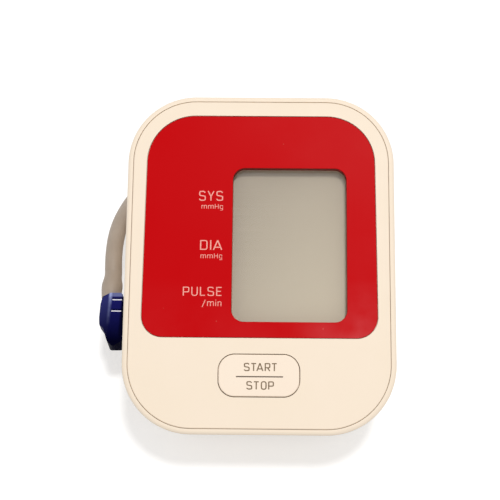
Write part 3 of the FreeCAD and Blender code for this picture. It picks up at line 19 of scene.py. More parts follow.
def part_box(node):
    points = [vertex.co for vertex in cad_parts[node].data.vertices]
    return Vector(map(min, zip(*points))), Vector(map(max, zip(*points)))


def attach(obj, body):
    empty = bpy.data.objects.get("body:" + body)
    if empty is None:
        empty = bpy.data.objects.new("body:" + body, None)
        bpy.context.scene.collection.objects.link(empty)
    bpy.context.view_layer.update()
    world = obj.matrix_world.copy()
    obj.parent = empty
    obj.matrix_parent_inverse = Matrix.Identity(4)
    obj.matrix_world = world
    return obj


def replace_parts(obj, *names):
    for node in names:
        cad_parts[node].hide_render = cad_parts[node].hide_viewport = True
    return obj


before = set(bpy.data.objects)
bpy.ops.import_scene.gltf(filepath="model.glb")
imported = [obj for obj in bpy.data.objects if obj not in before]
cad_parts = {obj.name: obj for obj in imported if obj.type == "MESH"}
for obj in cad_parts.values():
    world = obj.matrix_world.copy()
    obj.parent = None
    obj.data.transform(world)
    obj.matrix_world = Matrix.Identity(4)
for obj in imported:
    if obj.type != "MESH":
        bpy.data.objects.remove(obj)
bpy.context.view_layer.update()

log = logging.getLogger("monitor")
MM = 0.001
Colour = tuple[float, float, float, float]
Place = tuple[float, float, float]
Dot = tuple[float, float]
Span = tuple[float, float]
Socket = bpy.types.NodeSocket
Inputs = dict[str | int, Any]

NEUTRAL: Colour = (1.0, 1.0, 1.0, 1.0)
SMOOTH_ANGLE = math.radians(40)
RISING: Span = (0.0, 1.0)
FALLING: Span = (1.0, 0.0)
# Noise keeps near its middle value: most of it lies in the first span, nearly all in the second.
MOST: Span = (0.35, 0.65)
NEARLY_ALL: Span = (0.3, 0.7)


class Body(Enum):
    """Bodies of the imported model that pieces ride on."""

    MONITOR = "monitor"
    BUTTON = "button"
    HOSE = "air_hose"


class Output(Enum):
    """What a node tree is for, by the type of its last node."""

    MATERIAL = "OutputMaterial"
    WORLD = "OutputWorld"


class Axis(Enum):
    """Coordinates that a pattern follows."""

    X = "X"
    Y = "Y"


class Detail(Enum):
    """How much small detail a noise has."""

    SMOOTH = 1.0
    PLAIN = 2.0
    RICH = 3.0
    FINE = 4.0


class Measure(Enum):
    """How the way from the middle of a cell is measured: straight, or along the axes."""

    STRAIGHT = "EUCLIDEAN"
    STEPPED = "MANHATTAN"


class Ray(Enum):
    """Kinds of ray that a shader can tell apart."""

    CAMERA = "Is Camera Ray"
    GLOSSY = "Is Glossy Ray"
    TRANSMISSION = "Is Transmission Ray"
    DIFFUSE = "Is Diffuse Ray"
    SHADOW = "Is Shadow Ray"


SEEN = (Ray.CAMERA, Ray.GLOSSY, Ray.TRANSMISSION)


def screen(red: int, green: int, blue: int) -> Colour:
    """Turns a colour in screen values into linear light.

    Args:
        red: Red from 0 to 255.
        green: Green from 0 to 255.
        blue: Blue from 0 to 255.

    Returns:
        The colour as a shader socket takes it.
    """
    def linear(value: int) -> float:
        """One channel in linear light, by the curve of standard screens."""
        share = value / 255
        return share / 12.92 if share <= 0.04045 else ((share + 0.055) / 1.055) ** 2.4

    return linear(red), linear(green), linear(blue), 1.0


class NodeSheet:
    """A node tree, with short calls for the nodes that the finishes and the studio share."""

    def __init__(self, tree: bpy.types.NodeTree, output: Output) -> None:
        """Starts an empty tree.

        Args:
            tree: The tree of a material or of the world.
            output: Which of them it is for.
        """
        self.nodes, self.links = tree.nodes, tree.links
        self.nodes.clear()
        self.output = self.add(output.value)

    @cached_property
    def place(self) -> Socket:
        """Object coordinates, which the patterns follow."""
        return self.add("TexCoord").outputs["Object"]

    def feed(self, target: Socket, value: Any) -> None:
        """Links a socket to an input, or sets a constant on it.

        Args:
            target: The input.
            value: A socket or a constant.
        """
        if isinstance(value, bpy.types.NodeSocket):
            self.links.new(value, target)
        else:
            target.default_value = value

    def add(self, kind: str, inputs: Inputs | None = None, **settings: Any) -> bpy.types.Node:
        """Adds a node.

        Args:
            kind: Short type name, such as TexNoise.
            inputs: Sockets to link and constants to set, by the input's name or number.
            settings: Properties of the node.

        Returns:
            The new node.
        """
        node = self.nodes.new("ShaderNode" + kind)
        for key, value in settings.items():
            setattr(node, key, value)
        for key, value in (inputs or {}).items():
            self.feed(node.inputs[key], value)
        return node

    def axis(self, axis: Axis, vector: Socket | None = None) -> Socket:
        """One coordinate of a vector, or of the place."""
        return self.add("SeparateXYZ", {"Vector": vector or self.place}).outputs[axis.value]

    def along(self, way: Place) -> Socket:
        """How far a point lies along a direction."""
        return self.add("VectorMath", {0: self.place, 1: way}, operation="DOT_PRODUCT").outputs["Value"]

    def stretched(self, scale: Place, tilt: float = 0.0) -> Socket:
        """Turns and stretches the coordinates of a pattern.

        Args:
            scale: How much closer the pattern lies along X, Y and Z.
            tilt: Turn about X, before that.

        Returns:
            The new coordinates.
        """
        turn = self.add("Mapping", {"Vector": self.place, "Rotation": (tilt, 0.0, 0.0)})
        return self.add("Mapping", {"Vector": turn.outputs[0], "Scale": scale}).outputs[0]

    def noise(self, size: float, detail: Detail = Detail.PLAIN, vector: Socket | None = None) -> Socket:
        """Adds a noise.

        Args:
            size: About how wide its blotches are.
            detail: How much small detail it has.
            vector: Coordinates in place of the plain ones.

        Returns:
            The noise's values, about 0.5.
        """
        inputs = {"Vector": vector or self.place, "Scale": 1 / size, "Detail": detail.value}
        return self.add("TexNoise", inputs).outputs["Fac"]

    def cells(self, size: float, measure: Measure = Measure.STRAIGHT) -> bpy.types.Node:
        """A pattern of cells of about a size, with a distance and a colour of its own for each cell."""
        return self.add("TexVoronoi", {"Vector": self.place, "Scale": 1 / size}, distance=measure.value)

    def spread(self, value: Socket, source: Span, target: Span = RISING) -> Socket:
        """Maps a span of values onto another, held at its ends.

        Args:
            value: The values.
            source: Where the span starts and ends.
            target: What its start and its end become.

        Returns:
            The mapped values.
        """
        inputs = {"Value": value, "From Min": source[0], "From Max": source[1],
                  "To Min": target[0], "To Max": target[1]}
        return self.add("MapRange", inputs).outputs[0]

    def times(self, first: Socket, second: Socket | float) -> Socket:
        """The product of two values."""
        return self.add("Math", {0: first, 1: second}, operation="MULTIPLY").outputs[0]

    def blend(self, factor: Socket, first: Socket | Colour, second: Socket | Colour) -> Socket:
        """Mixes two colours.

        Args:
            factor: The second colour's share.
            first: A colour, constant or not.
            second: Another.

        Returns:
            The mixed colour.
        """
        node = self.add("Mix", data_type="RGBA")
        inputs = {socket.identifier: socket for socket in node.inputs}
        for name, value in (("Factor_Float", factor), ("A_Color", first), ("B_Color", second)):
            self.feed(inputs[name], value)
        return next(socket for socket in node.outputs if socket.identifier == "Result_Color")

    def bump(self, height: Socket, depth: float) -> Socket:
        """A normal from a height of the given depth."""
        return self.add("Bump", {"Height": height, "Distance": depth}).outputs[0]

    def rays(self, first: Ray, *others: Ray) -> Socket:
        """Tells some kinds of ray from the rest.

        Args:
            first: A kind of ray.
            others: More kinds.

        Returns:
            1 on a ray of these kinds, otherwise 0.
        """
        path = self.add("LightPath").outputs
        found = path[first.value]
        for ray in others:
            found = self.add("Math", {0: found, 1: path[ray.value]}, operation="MAXIMUM").outputs[0]
        return found

    def choose(self, factor: Socket, first: bpy.types.Node, second: bpy.types.Node) -> bpy.types.Node:
        """Mixes two shaders, with the first at 0 and the second at 1."""
        return self.add("MixShader", {0: factor, 1: first.outputs[0], 2: second.outputs[0]})

    def finish(self, shader: bpy.types.Node) -> None:
        """Ends the tree in a shader."""
        self.links.new(shader.outputs[0], self.output.inputs["Surface"])

    def surface(self, inputs: Inputs) -> None:
        """Ends the tree in a principled surface."""
        self.finish(self.add("BsdfPrincipled", inputs))


@dataclass(frozen=True)
class Finish:
    """A surface finish; each kind mixes its own material once."""

    name: str

    @cache
    def material(self) -> bpy.types.Material:
        """Makes the finish's material on first use.

        Returns:
            The material, the same one each time.
        """
        material = bpy.data.materials.new(self.name)
        material.use_nodes = True
        self.mix(NodeSheet(material.node_tree, Output.MATERIAL))
        return material

    def mix(self, sheet: NodeSheet) -> None:
        """Fills the node tree; each kind of finish has its own way."""
        raise NotImplementedError

    def dress(self, *nodes: str) -> list[str]:
        """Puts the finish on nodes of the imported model.

        Args:
            nodes: The nodes' names.

        Returns:
            The same names.
        """
        for name in nodes:
            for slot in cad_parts[name].material_slots:
                slot.material = self.material()
        return list(nodes)


@dataclass(frozen=True)
class MouldedPlastic(Finish):
    """Injection-moulded plastic with a fine grain and a faint cloudiness."""

    colour: Colour
    shade: Colour
    roughness: float = 0.42
    uneven: float = 0.05
    gloss: float = 0.4
    sheen: float = 0.0
    cloud: float = 30 * MM
    patch: float = 7.5 * MM
    grain: float = 0.5 * MM
    depth: float = 0.01 * MM

    def mix(self, sheet: NodeSheet) -> None:
        """Cloudy colour, uneven gloss and a bump of fine grain.

        Args:
            sheet: The material's node tree.
        """
        cloud = sheet.spread(sheet.noise(self.cloud, Detail.RICH), MOST)
        rough = (self.roughness - self.uneven, self.roughness + self.uneven)
        sheet.surface({
            "Base Color": sheet.blend(cloud, self.colour, self.shade),
            "Roughness": sheet.spread(sheet.noise(self.patch), NEARLY_ALL, rough),
            "Specular IOR Level": self.gloss,
            "Sheen Weight": self.sheen,
            "Normal": sheet.bump(sheet.noise(self.grain), self.depth),
        })


@dataclass(frozen=True)
class PlugPlastic(Finish):
    """Dark moulded plastic, with painted shade toward its front and beside the case, and painted
    highlights on it.

    Spans where the painted highlights fade, and the ridge's bright corner, are shares of the way from rear
    to front.
    """

    rear: Colour
    front: Colour
    painted_highlight: Colour
    rear_y: float
    front_y: float
    ridge_x: float
    case_x: float
    ridge: float = 1.0 * MM
    rim: float = 0.6 * MM
    highlight_fades: Span = (0.05, 0.7)
    flank_highlight: float = 0.04
    rim_highlight: float = 0.32
    corner: Span = (0.08, 0.25)
    past_corner: float = 0.4
    highlight_patch: float = 4 * MM
    highlight_patch_values: Span = (0.3, 0.6)
    least_highlight: float = 0.35
    roughness: Span = (0.29, 0.4)
    gloss: float = 0.005
    patch: float = 2 * MM
    grain: float = 0.9 * MM
    depth: float = 0.012 * MM

    def mix(self, sheet: NodeSheet) -> None:
        """Colour with painted shade toward the front and the case, and painted highlights on the flank,
        rear rim and ridge.

        Args:
            sheet: The material's node tree.
        """
        x, y = sheet.axis(Axis.X), sheet.axis(Axis.Y)
        # Painted shade: the colour darkens from the rear toward the front, and close beside the case.
        deep = sheet.spread(y, (self.rear_y, self.front_y))
        beside = sheet.spread(x, (self.case_x - self.ridge, self.case_x))
        colour = sheet.blend(beside, sheet.blend(deep, self.rear, self.front), self.front)
        # Painted highlights: a pale flank left of the ridge, a pale rear rim, and a patchy bright ridge.
        past_flank = sheet.spread(x, (self.ridge_x - self.ridge, self.ridge_x))
        before_top = sheet.spread(x, (self.ridge_x, self.ridge_x + self.ridge), FALLING)
        fading = sheet.spread(deep, self.highlight_fades, FALLING)
        flank = sheet.times(fading, sheet.spread(past_flank, RISING, (self.flank_highlight, 0.0)))
        at_rear = sheet.spread(y, (self.rear_y - self.rim, self.rear_y), (0.0, self.rim_highlight))
        highlight_patch = sheet.spread(sheet.noise(self.highlight_patch, Detail.RICH), self.highlight_patch_values, (self.least_highlight, 1.0))
        bright = sheet.times(highlight_patch, sheet.spread(deep, self.corner, (1.0, self.past_corner)))
        ridge = sheet.times(sheet.times(past_flank, before_top), sheet.times(bright, fading))
        # Each mask lays a painted highlight in the pale colour.
        for rub in (flank, sheet.times(past_flank, at_rear), ridge):
            colour = sheet.blend(rub, colour, self.painted_highlight)
        sheet.surface({
            "Base Color": colour,
            "Roughness": sheet.spread(sheet.noise(self.patch), NEARLY_ALL, self.roughness),
            "Specular IOR Level": self.gloss,
            "Normal": sheet.bump(sheet.noise(self.grain), self.depth),
        })


@dataclass(frozen=True)
class PrintedPanel(Finish):
    """Coloured film with a little dust, a painted reflection in patches, and painted shade on its edge
    walls.
    """

    colour: Colour
    glare: Colour
    dust: Colour
    wall_shade: Colour
    tilt: float
    top: float
    chamfer: float = 0.2 * MM
    cloud: float = 22 * MM
    cloud_values: Span = (0.3, 0.75)
    glare_x: Span = (12 * MM, 40 * MM)
    glare_y: Span = (-8 * MM, -38 * MM)
    least_right: float = 0.1
    least_near: float = 0.06
    dust_gap: float = 5 * MM
    speck: Span = (0.02, 0.045)
    dusty_from: Span = (0.72, 0.74)
    dust_cover: float = 0.4
    roughness: Span = (0.3, 0.42)
    gloss: float = 0.02
    grain: float = 0.7 * MM
    depth: float = 0.004 * MM

    def with_glare(self, sheet: NodeSheet, clouds: Socket) -> Socket:
        """The film's colour under a painted reflection that gathers at the near right corner.

        Args:
            sheet: The material's node tree.
            clouds: Where the haze is thick.

        Returns:
            The colour.
        """
        right = sheet.spread(sheet.axis(Axis.X), self.glare_x, (self.least_right, 1.0))
        near = sheet.spread(sheet.axis(Axis.Y), self.glare_y, (self.least_near, 1.0))
        return sheet.blend(sheet.times(sheet.times(clouds, right), near), self.colour, self.glare)

    def dusty(self, sheet: NodeSheet) -> Socket:
        """Specks of dust in some cells of a pattern.

        Args:
            sheet: The material's node tree.

        Returns:
            How far the dust covers the film.
        """
        cells = sheet.cells(self.dust_gap)
        speck = sheet.spread(cells.outputs["Distance"], self.speck, FALLING)
        dusty = sheet.spread(sheet.axis(Axis.X, cells.outputs["Color"]), self.dusty_from)
        return sheet.times(sheet.times(speck, dusty), self.dust_cover)

    def mix(self, sheet: NodeSheet) -> None:
        """Deep colour with dust and a painted reflection on it, and painted shade on the walls below the
        face.

        Args:
            sheet: The material's node tree.
        """
        clouds = sheet.spread(sheet.noise(self.cloud, Detail.FINE), self.cloud_values)
        film = sheet.blend(self.dusty(sheet), self.with_glare(sheet, clouds), self.dust)
        # Painted shade: below the film's top, its walls take the dark wall colour.
        height = sheet.along((0.0, -math.sin(self.tilt), math.cos(self.tilt)))
        below = sheet.spread(height, (self.top - self.chamfer, self.top), FALLING)
        sheet.surface({
            "Base Color": sheet.blend(below, film, self.wall_shade),
            "Roughness": sheet.spread(clouds, RISING, self.roughness),
            "Specular IOR Level": self.gloss,
            "Normal": sheet.bump(sheet.noise(self.grain), self.depth),
        })


@dataclass(frozen=True)
class ClearLens(Finish):
    """Clear acrylic that lets light through to what lies under it."""

    tint: Colour
    bend: float = 1.49
    rub: float = 9 * MM
    rub_values: Span = (0.4, 0.8)
    roughness: Span = (0.0, 0.04)

    def mix(self, sheet: NodeSheet) -> None:
        """Glass for sight, and plain clearness for lamps and for light that the display scatters.

        Args:
            sheet: The material's node tree.
        """
        rough = sheet.spread(sheet.noise(self.rub, Detail.RICH), self.rub_values, self.roughness)
        glass = sheet.add("BsdfPrincipled", {
            "Base Color": self.tint, "Roughness": rough, "IOR": self.bend, "Transmission Weight": 1.0})
        clear = sheet.add("BsdfTransparent", {"Color": self.tint})
        seen = sheet.choose(sheet.rays(Ray.DIFFUSE), glass, clear)
        sheet.finish(sheet.choose(sheet.rays(Ray.SHADOW), seen, clear))


@dataclass(frozen=True)
class LiquidCrystal(Finish):
    """Blank display glass with faint lines across, and painted shade that leaves it paler toward its near
    right corner.
    """

    far: Colour
    near: Colour
    streak: Colour
    tilt: float
    far_edge: float
    near_edge: float
    across: float = -0.9
    line: float = 1.6 * MM
    line_scale: Place = (0.02, 1.0, 1.0)
    line_values: Span = (0.45, 0.8)
    cloud: float = 14 * MM
    cloud_values: Span = (0.4, 0.7)
    cover: Span = (0.05, 0.25)
    roughness: float = 0.6
    gloss: float = 0.05

    def mix(self, sheet: NodeSheet) -> None:
        """A slanting gradient of painted shade over the glass, under patches of thin lines.

        Args:
            sheet: The material's node tree.
        """
        # Painted shade: the glass is drawn darker toward its far left corner.
        along = sheet.along((self.across, math.cos(self.tilt), math.sin(self.tilt)))
        shade = sheet.blend(sheet.spread(along, (self.near_edge, self.far_edge)), self.near, self.far)
        lines = sheet.noise(self.line, Detail.SMOOTH, sheet.stretched(self.line_scale, -self.tilt))
        clouds = sheet.noise(self.cloud, Detail.RICH)
        cover = sheet.spread(clouds, self.cloud_values, self.cover)
        streaks = sheet.times(sheet.spread(lines, self.line_values), cover)
        sheet.surface({
            "Base Color": sheet.blend(streaks, shade, self.streak),
            "Roughness": self.roughness,
            "Specular IOR Level": self.gloss,
        })


@dataclass(frozen=True)
class SoftRubber(Finish):
    """Dull flexible plastic or rubber with a bloom and fine scuffs."""

    colour: Colour
    bloom: Colour
    roughness: float = 0.5
    gloss: float = 0.35
    sheen: float = 0.05
    patch: float = 6 * MM
    patch_values: Span = (0.4, 0.75)
    scuff: float = 0.4 * MM
    depth: float = 0.012 * MM

    def mix(self, sheet: NodeSheet) -> None:
        """Uneven bloom over the colour and a scuffed bump.

        Args:
            sheet: The material's node tree.
        """
        bloom = sheet.spread(sheet.noise(self.patch, Detail.FINE), self.patch_values)
        sheet.surface({
            "Base Color": sheet.blend(bloom, self.colour, self.bloom),
            "Roughness": self.roughness,
            "Specular IOR Level": self.gloss,
            "Sheen Weight": self.sheen,
            "Normal": sheet.bump(sheet.noise(self.scuff, Detail.RICH), self.depth),
        })


@dataclass(frozen=True)
class BareMetal(Finish):
    """Plated or bare metal with drawn lines."""

    colour: Colour
    tarnish: Colour
    roughness: float = 0.28
    smoother: float = 0.08
    rougher: float = 0.1
    line: float = 0.3 * MM
    line_scale: Place = (0.08, 1.0, 1.0)
    stain: float = 5 * MM
    stain_values: Span = (0.5, 0.75)
    depth: float = 0.006 * MM

    def mix(self, sheet: NodeSheet) -> None:
        """Fine lines in the gloss and a little tarnish.

        Args:
            sheet: The material's node tree.
        """
        lines = sheet.noise(self.line, vector=sheet.stretched(self.line_scale))
        stain = sheet.spread(sheet.noise(self.stain, Detail.FINE), self.stain_values)
        rough = (self.roughness - self.smoother, self.roughness + self.rougher)
        sheet.surface({
            "Base Color": sheet.blend(stain, self.colour, self.tarnish),
            "Metallic": 1.0,
            "Roughness": sheet.spread(lines, NEARLY_ALL, rough),
            "Normal": sheet.bump(lines, self.depth),
        })


@dataclass(frozen=True)
class CircuitBoard(Finish):
    """Solder mask with paler tracks under it and tinned pads."""

    mask: Colour
    track: Colour
    pad: Colour
    track_cell: float = 6 * MM
    tracks: float = 6.0
    track_edge: Span = (0.3, 0.34)
    pad_cell: float = 3.5 * MM
    pad_edge: Span = (0.16, 0.18)
    roughness: float = 0.35
    depth: float = 0.02 * MM

    def mix(self, sheet: NodeSheet) -> None:
        """Tracks that run round the cells of a pattern, and a pad in the middle of each finer cell.

        Args:
            sheet: The material's node tree.
        """
        far = sheet.cells(self.track_cell, Measure.STEPPED).outputs["Distance"]
        line = sheet.add("Math", {0: sheet.times(far, self.tracks)}, operation="FRACT").outputs[0]
        board = sheet.blend(sheet.spread(line, self.track_edge), self.track, self.mask)
        pads = sheet.spread(sheet.cells(self.pad_cell).outputs["Distance"], self.pad_edge, FALLING)
        sheet.surface({
            "Base Color": sheet.blend(pads, board, self.pad),
            "Roughness": self.roughness,
            "Normal": sheet.bump(line, self.depth),
        })


@dataclass(frozen=True)
class CellJacket(Finish):
    """Printed sleeve of a dry cell: a dark body and a metallic band at one end.

    The spans of the band and the line are shares of the cell's length.
    """

    sleeve: Colour
    band: Colour
    line: Colour
    start: float
    end: float
    line_from: Span = (0.66, 0.665)
    line_to: Span = (0.68, 0.685)
    band_from: Span = (0.695, 0.7)
    metal: float = 0.8
    roughness: float = 0.3
    dent: float = 2 * MM
    depth: float = 0.01 * MM

    def mix(self, sheet: NodeSheet) -> None:
        """Two colours along the cell with a thin pale line between.

        Args:
            sheet: The material's node tree.
        """
        along = sheet.spread(sheet.axis(Axis.Y), (self.start, self.end))
        banded = sheet.spread(along, self.band_from)
        line = sheet.times(sheet.spread(along, self.line_from), sheet.spread(along, self.line_to, FALLING))
        sheet.surface({
            "Base Color": sheet.blend(line, sheet.blend(banded, self.sleeve, self.band), self.line),
            "Metallic": sheet.times(banded, self.metal),
            "Roughness": self.roughness,
            "Normal": sheet.bump(sheet.noise(self.dent), self.depth),
        })


@dataclass(frozen=True)
class PrintedInk(Finish):
    """Thin printed ink with a slightly uneven cover."""

    colour: Colour
    thin: Colour
    roughness: float = 0.55
    gloss: float = 0.2
    patch: float = 0.6 * MM

    def mix(self, sheet: NodeSheet) -> None:
        """Ink that lets a little of its ground through.

        Args:
            sheet: The material's node tree.
        """
        cover = sheet.spread(sheet.noise(self.patch, Detail.RICH), MOST)
        sheet.surface({
            "Base Color": sheet.blend(cover, self.thin, self.colour),
            "Roughness": self.roughness,
            "Specular IOR Level": self.gloss,
        })


@dataclass(frozen=True)
class FloorPaint(Finish):
    """Paint that keeps the shadow and is clear from below; the camera sees it whiter, more so far off."""

    grey: float
    glow: Span
    reach: Span

    def mix(self, sheet: NodeSheet) -> None:
        """Grey paint with a glow for sight alone.

        Args:
            sheet: The material's node tree.
        """
        paint = sheet.add("BsdfDiffuse", {"Color": (self.grey, self.grey, self.grey, 1.0)})
        distance = sheet.add("VectorMath", {0: sheet.place}, operation="LENGTH").outputs["Value"]
        strength = sheet.times(sheet.rays(*SEEN), sheet.spread(distance, self.reach, self.glow))
        glow = sheet.add("Emission", {"Strength": strength})
        both = sheet.add("AddShader", {0: paint.outputs[0], 1: glow.outputs[0]})
        below = sheet.add("NewGeometry").outputs["Backfacing"]
        sheet.finish(sheet.choose(below, both, sheet.add("BsdfTransparent")))


FACE_TILT = math.radians(20)
PANEL_TOP = 55.11 * MM
CREAM = MouldedPlastic("cream_moulding", screen(246, 229, 208), screen(245, 228, 206),
                       roughness=0.55, gloss=0.18, sheen=0.2)
CREAM_KEY = MouldedPlastic("cream_key", screen(249, 232, 212), screen(248, 230, 210),
                           roughness=0.5, gloss=0.2)
# Red film: the pale patches are a painted reflection, and the dark wall colour is painted shade.
PANEL_RED = PrintedPanel("red_film", colour=screen(195, 6, 12), glare=screen(212, 96, 100),
                         dust=screen(235, 170, 150), wall_shade=screen(118, 42, 36),
                         tilt=FACE_TILT, top=PANEL_TOP)
LENS = ClearLens("clear_acrylic", tint=(0.985, 0.985, 0.97, 1.0))
DISPLAY = LiquidCrystal("blank_display", far=screen(170, 158, 142), near=screen(198, 185, 165),
                        streak=screen(202, 190, 172), tilt=FACE_TILT,
                        far_edge=46 * MM, near_edge=-22 * MM)
WHITE = MouldedPlastic("white_frame", screen(226, 222, 212), screen(218, 214, 204), roughness=0.5)
BLACK = MouldedPlastic("black_moulding", screen(30, 30, 32), screen(38, 38, 40), roughness=0.4)
# Navy plug: painted shade from rear to front, and painted highlights in the pale colour.
NAVY = PlugPlastic("navy_moulding", rear=screen(26, 27, 98), front=screen(3, 3, 28),
                   painted_highlight=screen(170, 180, 228), rear_y=-5 * MM, front_y=-24 * MM,
                   ridge_x=-60.2 * MM, case_x=-55.0 * MM)
# Pale bars on the plug's grooves: a painted glint where light catches the edges.
GLINT_PAINT = MouldedPlastic("painted_glint", screen(236, 236, 244), screen(224, 224, 236), grain=0.3 * MM)
TUBE = SoftRubber("grey_vinyl", screen(161, 146, 131), screen(167, 152, 137))
FOOT = SoftRubber("foot_rubber", screen(92, 90, 88), screen(104, 101, 97), roughness=0.7)
INNER_TUBE = SoftRubber("inner_tube", screen(196, 192, 182), screen(208, 204, 195))
CONTACT = SoftRubber("contact_rubber", screen(196, 190, 180), screen(120, 116, 110))
STEEL = BareMetal("plated_steel", screen(196, 194, 190), screen(168, 160, 148))
MOTOR = BareMetal("drawn_steel", screen(178, 178, 180), screen(150, 146, 140), roughness=0.34)
COPPER = BareMetal("wound_copper", screen(196, 112, 70), screen(150, 82, 52), roughness=0.36)
BOARD = CircuitBoard("green_board", mask=screen(18, 84, 52), track=screen(34, 118, 74),
                     pad=screen(206, 204, 198))
PANEL_INK = PrintedInk("panel_ink", screen(247, 182, 168), screen(237, 150, 138))
BUTTON_INK = PrintedInk("button_ink", screen(120, 100, 78), screen(134, 114, 90))
RULE_INK = PrintedInk("rule_ink", screen(98, 84, 74), screen(116, 100, 86))
FLOOR = FloorPaint("floor_paint", grey=0.75, glow=(0.4, 0.6), reach=(0.3, 1.2))


def add_object(name: str, data: bpy.types.ID) -> bpy.types.Object:
    """Adds an object at the origin to the scene.

    Args:
        name: The object's name.
        data: Its mesh, curve, lamp or camera.

    Returns:
        The object.
    """
    item = bpy.data.objects.new(name, data)
    bpy.context.scene.collection.objects.link(item)
    return item


def as_mesh(name: str, shape: bmesh.types.BMesh) -> bpy.types.Mesh:
    """Turns a bmesh into a mesh and frees it.

    Args:
        name: The mesh's name.
        shape: The bmesh.

    Returns:
        The mesh.
    """
    mesh = bpy.data.meshes.new(name)
    shape.to_mesh(mesh)
    shape.free()
    return mesh


def settle(shape: bmesh.types.BMesh) -> None:
    """Sorts faces by their corners, because a spin leaves them in a new order each run.

    Args:
        shape: The bmesh to sort.
    """
    def rank(face: bmesh.types.BMFace) -> int:
        """A face's rank, by its lowest and then its highest corner."""
        numbers = [corner.index for corner in face.verts]
        return min(numbers) * len(shape.verts) + max(numbers)

    shape.verts.index_update()
    shape.faces.sort(key=rank)


def add_piece(mesh: bpy.types.Mesh, name: str, finish: Finish, body: Body,
              smooth_angle: float = SMOOTH_ANGLE) -> bpy.types.Object:
    """Makes a piece that rides on a body.

    Args:
        mesh: The piece's mesh, with its place in it.
        name: Its name.
        finish: Its surface.
        body: The body that carries it.
        smooth_angle: Edges up to this angle are shaded smooth.

    Returns:
        The piece's object.
    """
    mesh.name = name
    mesh.materials.clear()
    mesh.materials.append(finish.material())
    mesh.shade_smooth()
    mesh.set_sharp_from_angle(angle=smooth_angle)
    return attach(add_object(name, mesh), body.value)


class Rounding(Enum):
    """Which edges of a bar are rounded."""

    ALL = "all"
    UPRIGHT = "upright"


@dataclass(frozen=True)
class Bar:
    """A small straight bar with rounded edges."""

    size: Place
    radius: float
    segments: int
    rounding: Rounding

    def is_rounded(self, edge: bmesh.types.BMEdge) -> bool:
        """Whether an edge is one of those to round."""
        rise = abs(edge.verts[0].co.z - edge.verts[1].co.z)
        return self.rounding is Rounding.ALL or rise > self.size[2] / 2

    def shape(self, middle: Vector) -> bmesh.types.BMesh:
        """Builds the bar.

        Args:
            middle: Its middle.

        Returns:
            Its bmesh.
        """
        shape = bmesh.new()
        bmesh.ops.create_cube(shape, size=1.0)
        bmesh.ops.scale(shape, verts=shape.verts, vec=self.size)
        rounded = [edge for edge in shape.edges if self.is_rounded(edge)]
        bmesh.ops.bevel(shape, geom=rounded, offset=self.radius, segments=self.segments, profile=0.5,
                        affect="EDGES", material=-1)
        bmesh.ops.translate(shape, verts=shape.verts, vec=middle)
        return shape


@dataclass(frozen=True)
class FaceFrame:
    """The sloping front face, with its own right, up and out."""

    tilt: float = FACE_TILT
    middle: Place = (0.0, -1.7645 * MM, 58.2195 * MM)

    def matrix(self, out: float) -> Matrix:
        """Places a flat drawing over the middle of the face, raised by out."""
        turn = Matrix.Rotation(self.tilt, 4, "X")
        return Matrix.Translation(self.middle) @ turn @ Matrix.Translation((0.0, 0.0, out))


class Align(Enum):
    """How a word stands against its mark, as the share of it that lies to the left."""

    RIGHT = 1.0
    MIDDLE = 0.5


class Pen(Enum):
    """How a spline runs between its points."""

    STRAIGHT = "POLY"
    ROUND = "NURBS"


def round_curve(name: str, radius: float, path_steps: int, section_steps: int) -> bpy.types.Curve:
    """Starts a curve with a round section and closed ends.

    Args:
        name: The curve's name.
        radius: The section's radius.
        path_steps: Steps from one control point to the next.
        section_steps: How finely the section is divided.

    Returns:
        The curve, with no spline yet.
    """
    curve = bpy.data.curves.new(name, "CURVE")
    curve.dimensions = "3D"
    curve.bevel_depth = radius
    curve.bevel_resolution = section_steps
    curve.resolution_u = path_steps
    curve.use_fill_caps = True
    return curve


def add_spline(curve: bpy.types.Curve, places: list[Place] | list[Vector], pen: Pen,
               closed: bool = False) -> None:
    """Adds a spline to a curve; a round one is of the third order.

    Args:
        curve: The curve.
        places: The spline's control points.
        pen: How it runs between them.
        closed: Whether it closes on itself.
    """
    spline = curve.splines.new(pen.value)
    spline.points.add(len(places) - 1)
    for point, place in zip(spline.points, places):
        point.co = (*place, 1.0)
    if pen is Pen.ROUND:
        spline.order_u = 3
        spline.use_endpoint_u = not closed
    spline.use_cyclic_u = closed


@dataclass(frozen=True)
class Stroke:
    """One pen stroke of a letter, in heights of a capital."""

    dots: tuple[Dot, ...]
    pen: Pen = Pen.STRAIGHT
    closed: bool = False

    def draw(self, curve: bpy.types.Curve, start: float) -> float:
        """Adds the stroke to a curve.

        Args:
            curve: The word's curve.
            start: Where the letter begins along the word.

        Returns:
            The stroke's right end along the word.
        """
        add_spline(curve, [(start + right, up, 0.0) for right, up in self.dots], self.pen, self.closed)
        return start + max(right for right, up in self.dots)


def bars(*strokes: tuple[Dot, ...]) -> tuple[Stroke, ...]:
    """Straight strokes."""
    return tuple(Stroke(dots) for dots in strokes)


def bow(*dots: Dot) -> tuple[Stroke, ...]:
    """One rounded stroke."""
    return (Stroke(dots, Pen.ROUND),)


def ring(*dots: Dot) -> tuple[Stroke, ...]:
    """One rounded stroke that closes on itself."""
    return (Stroke(dots, Pen.ROUND, closed=True),)
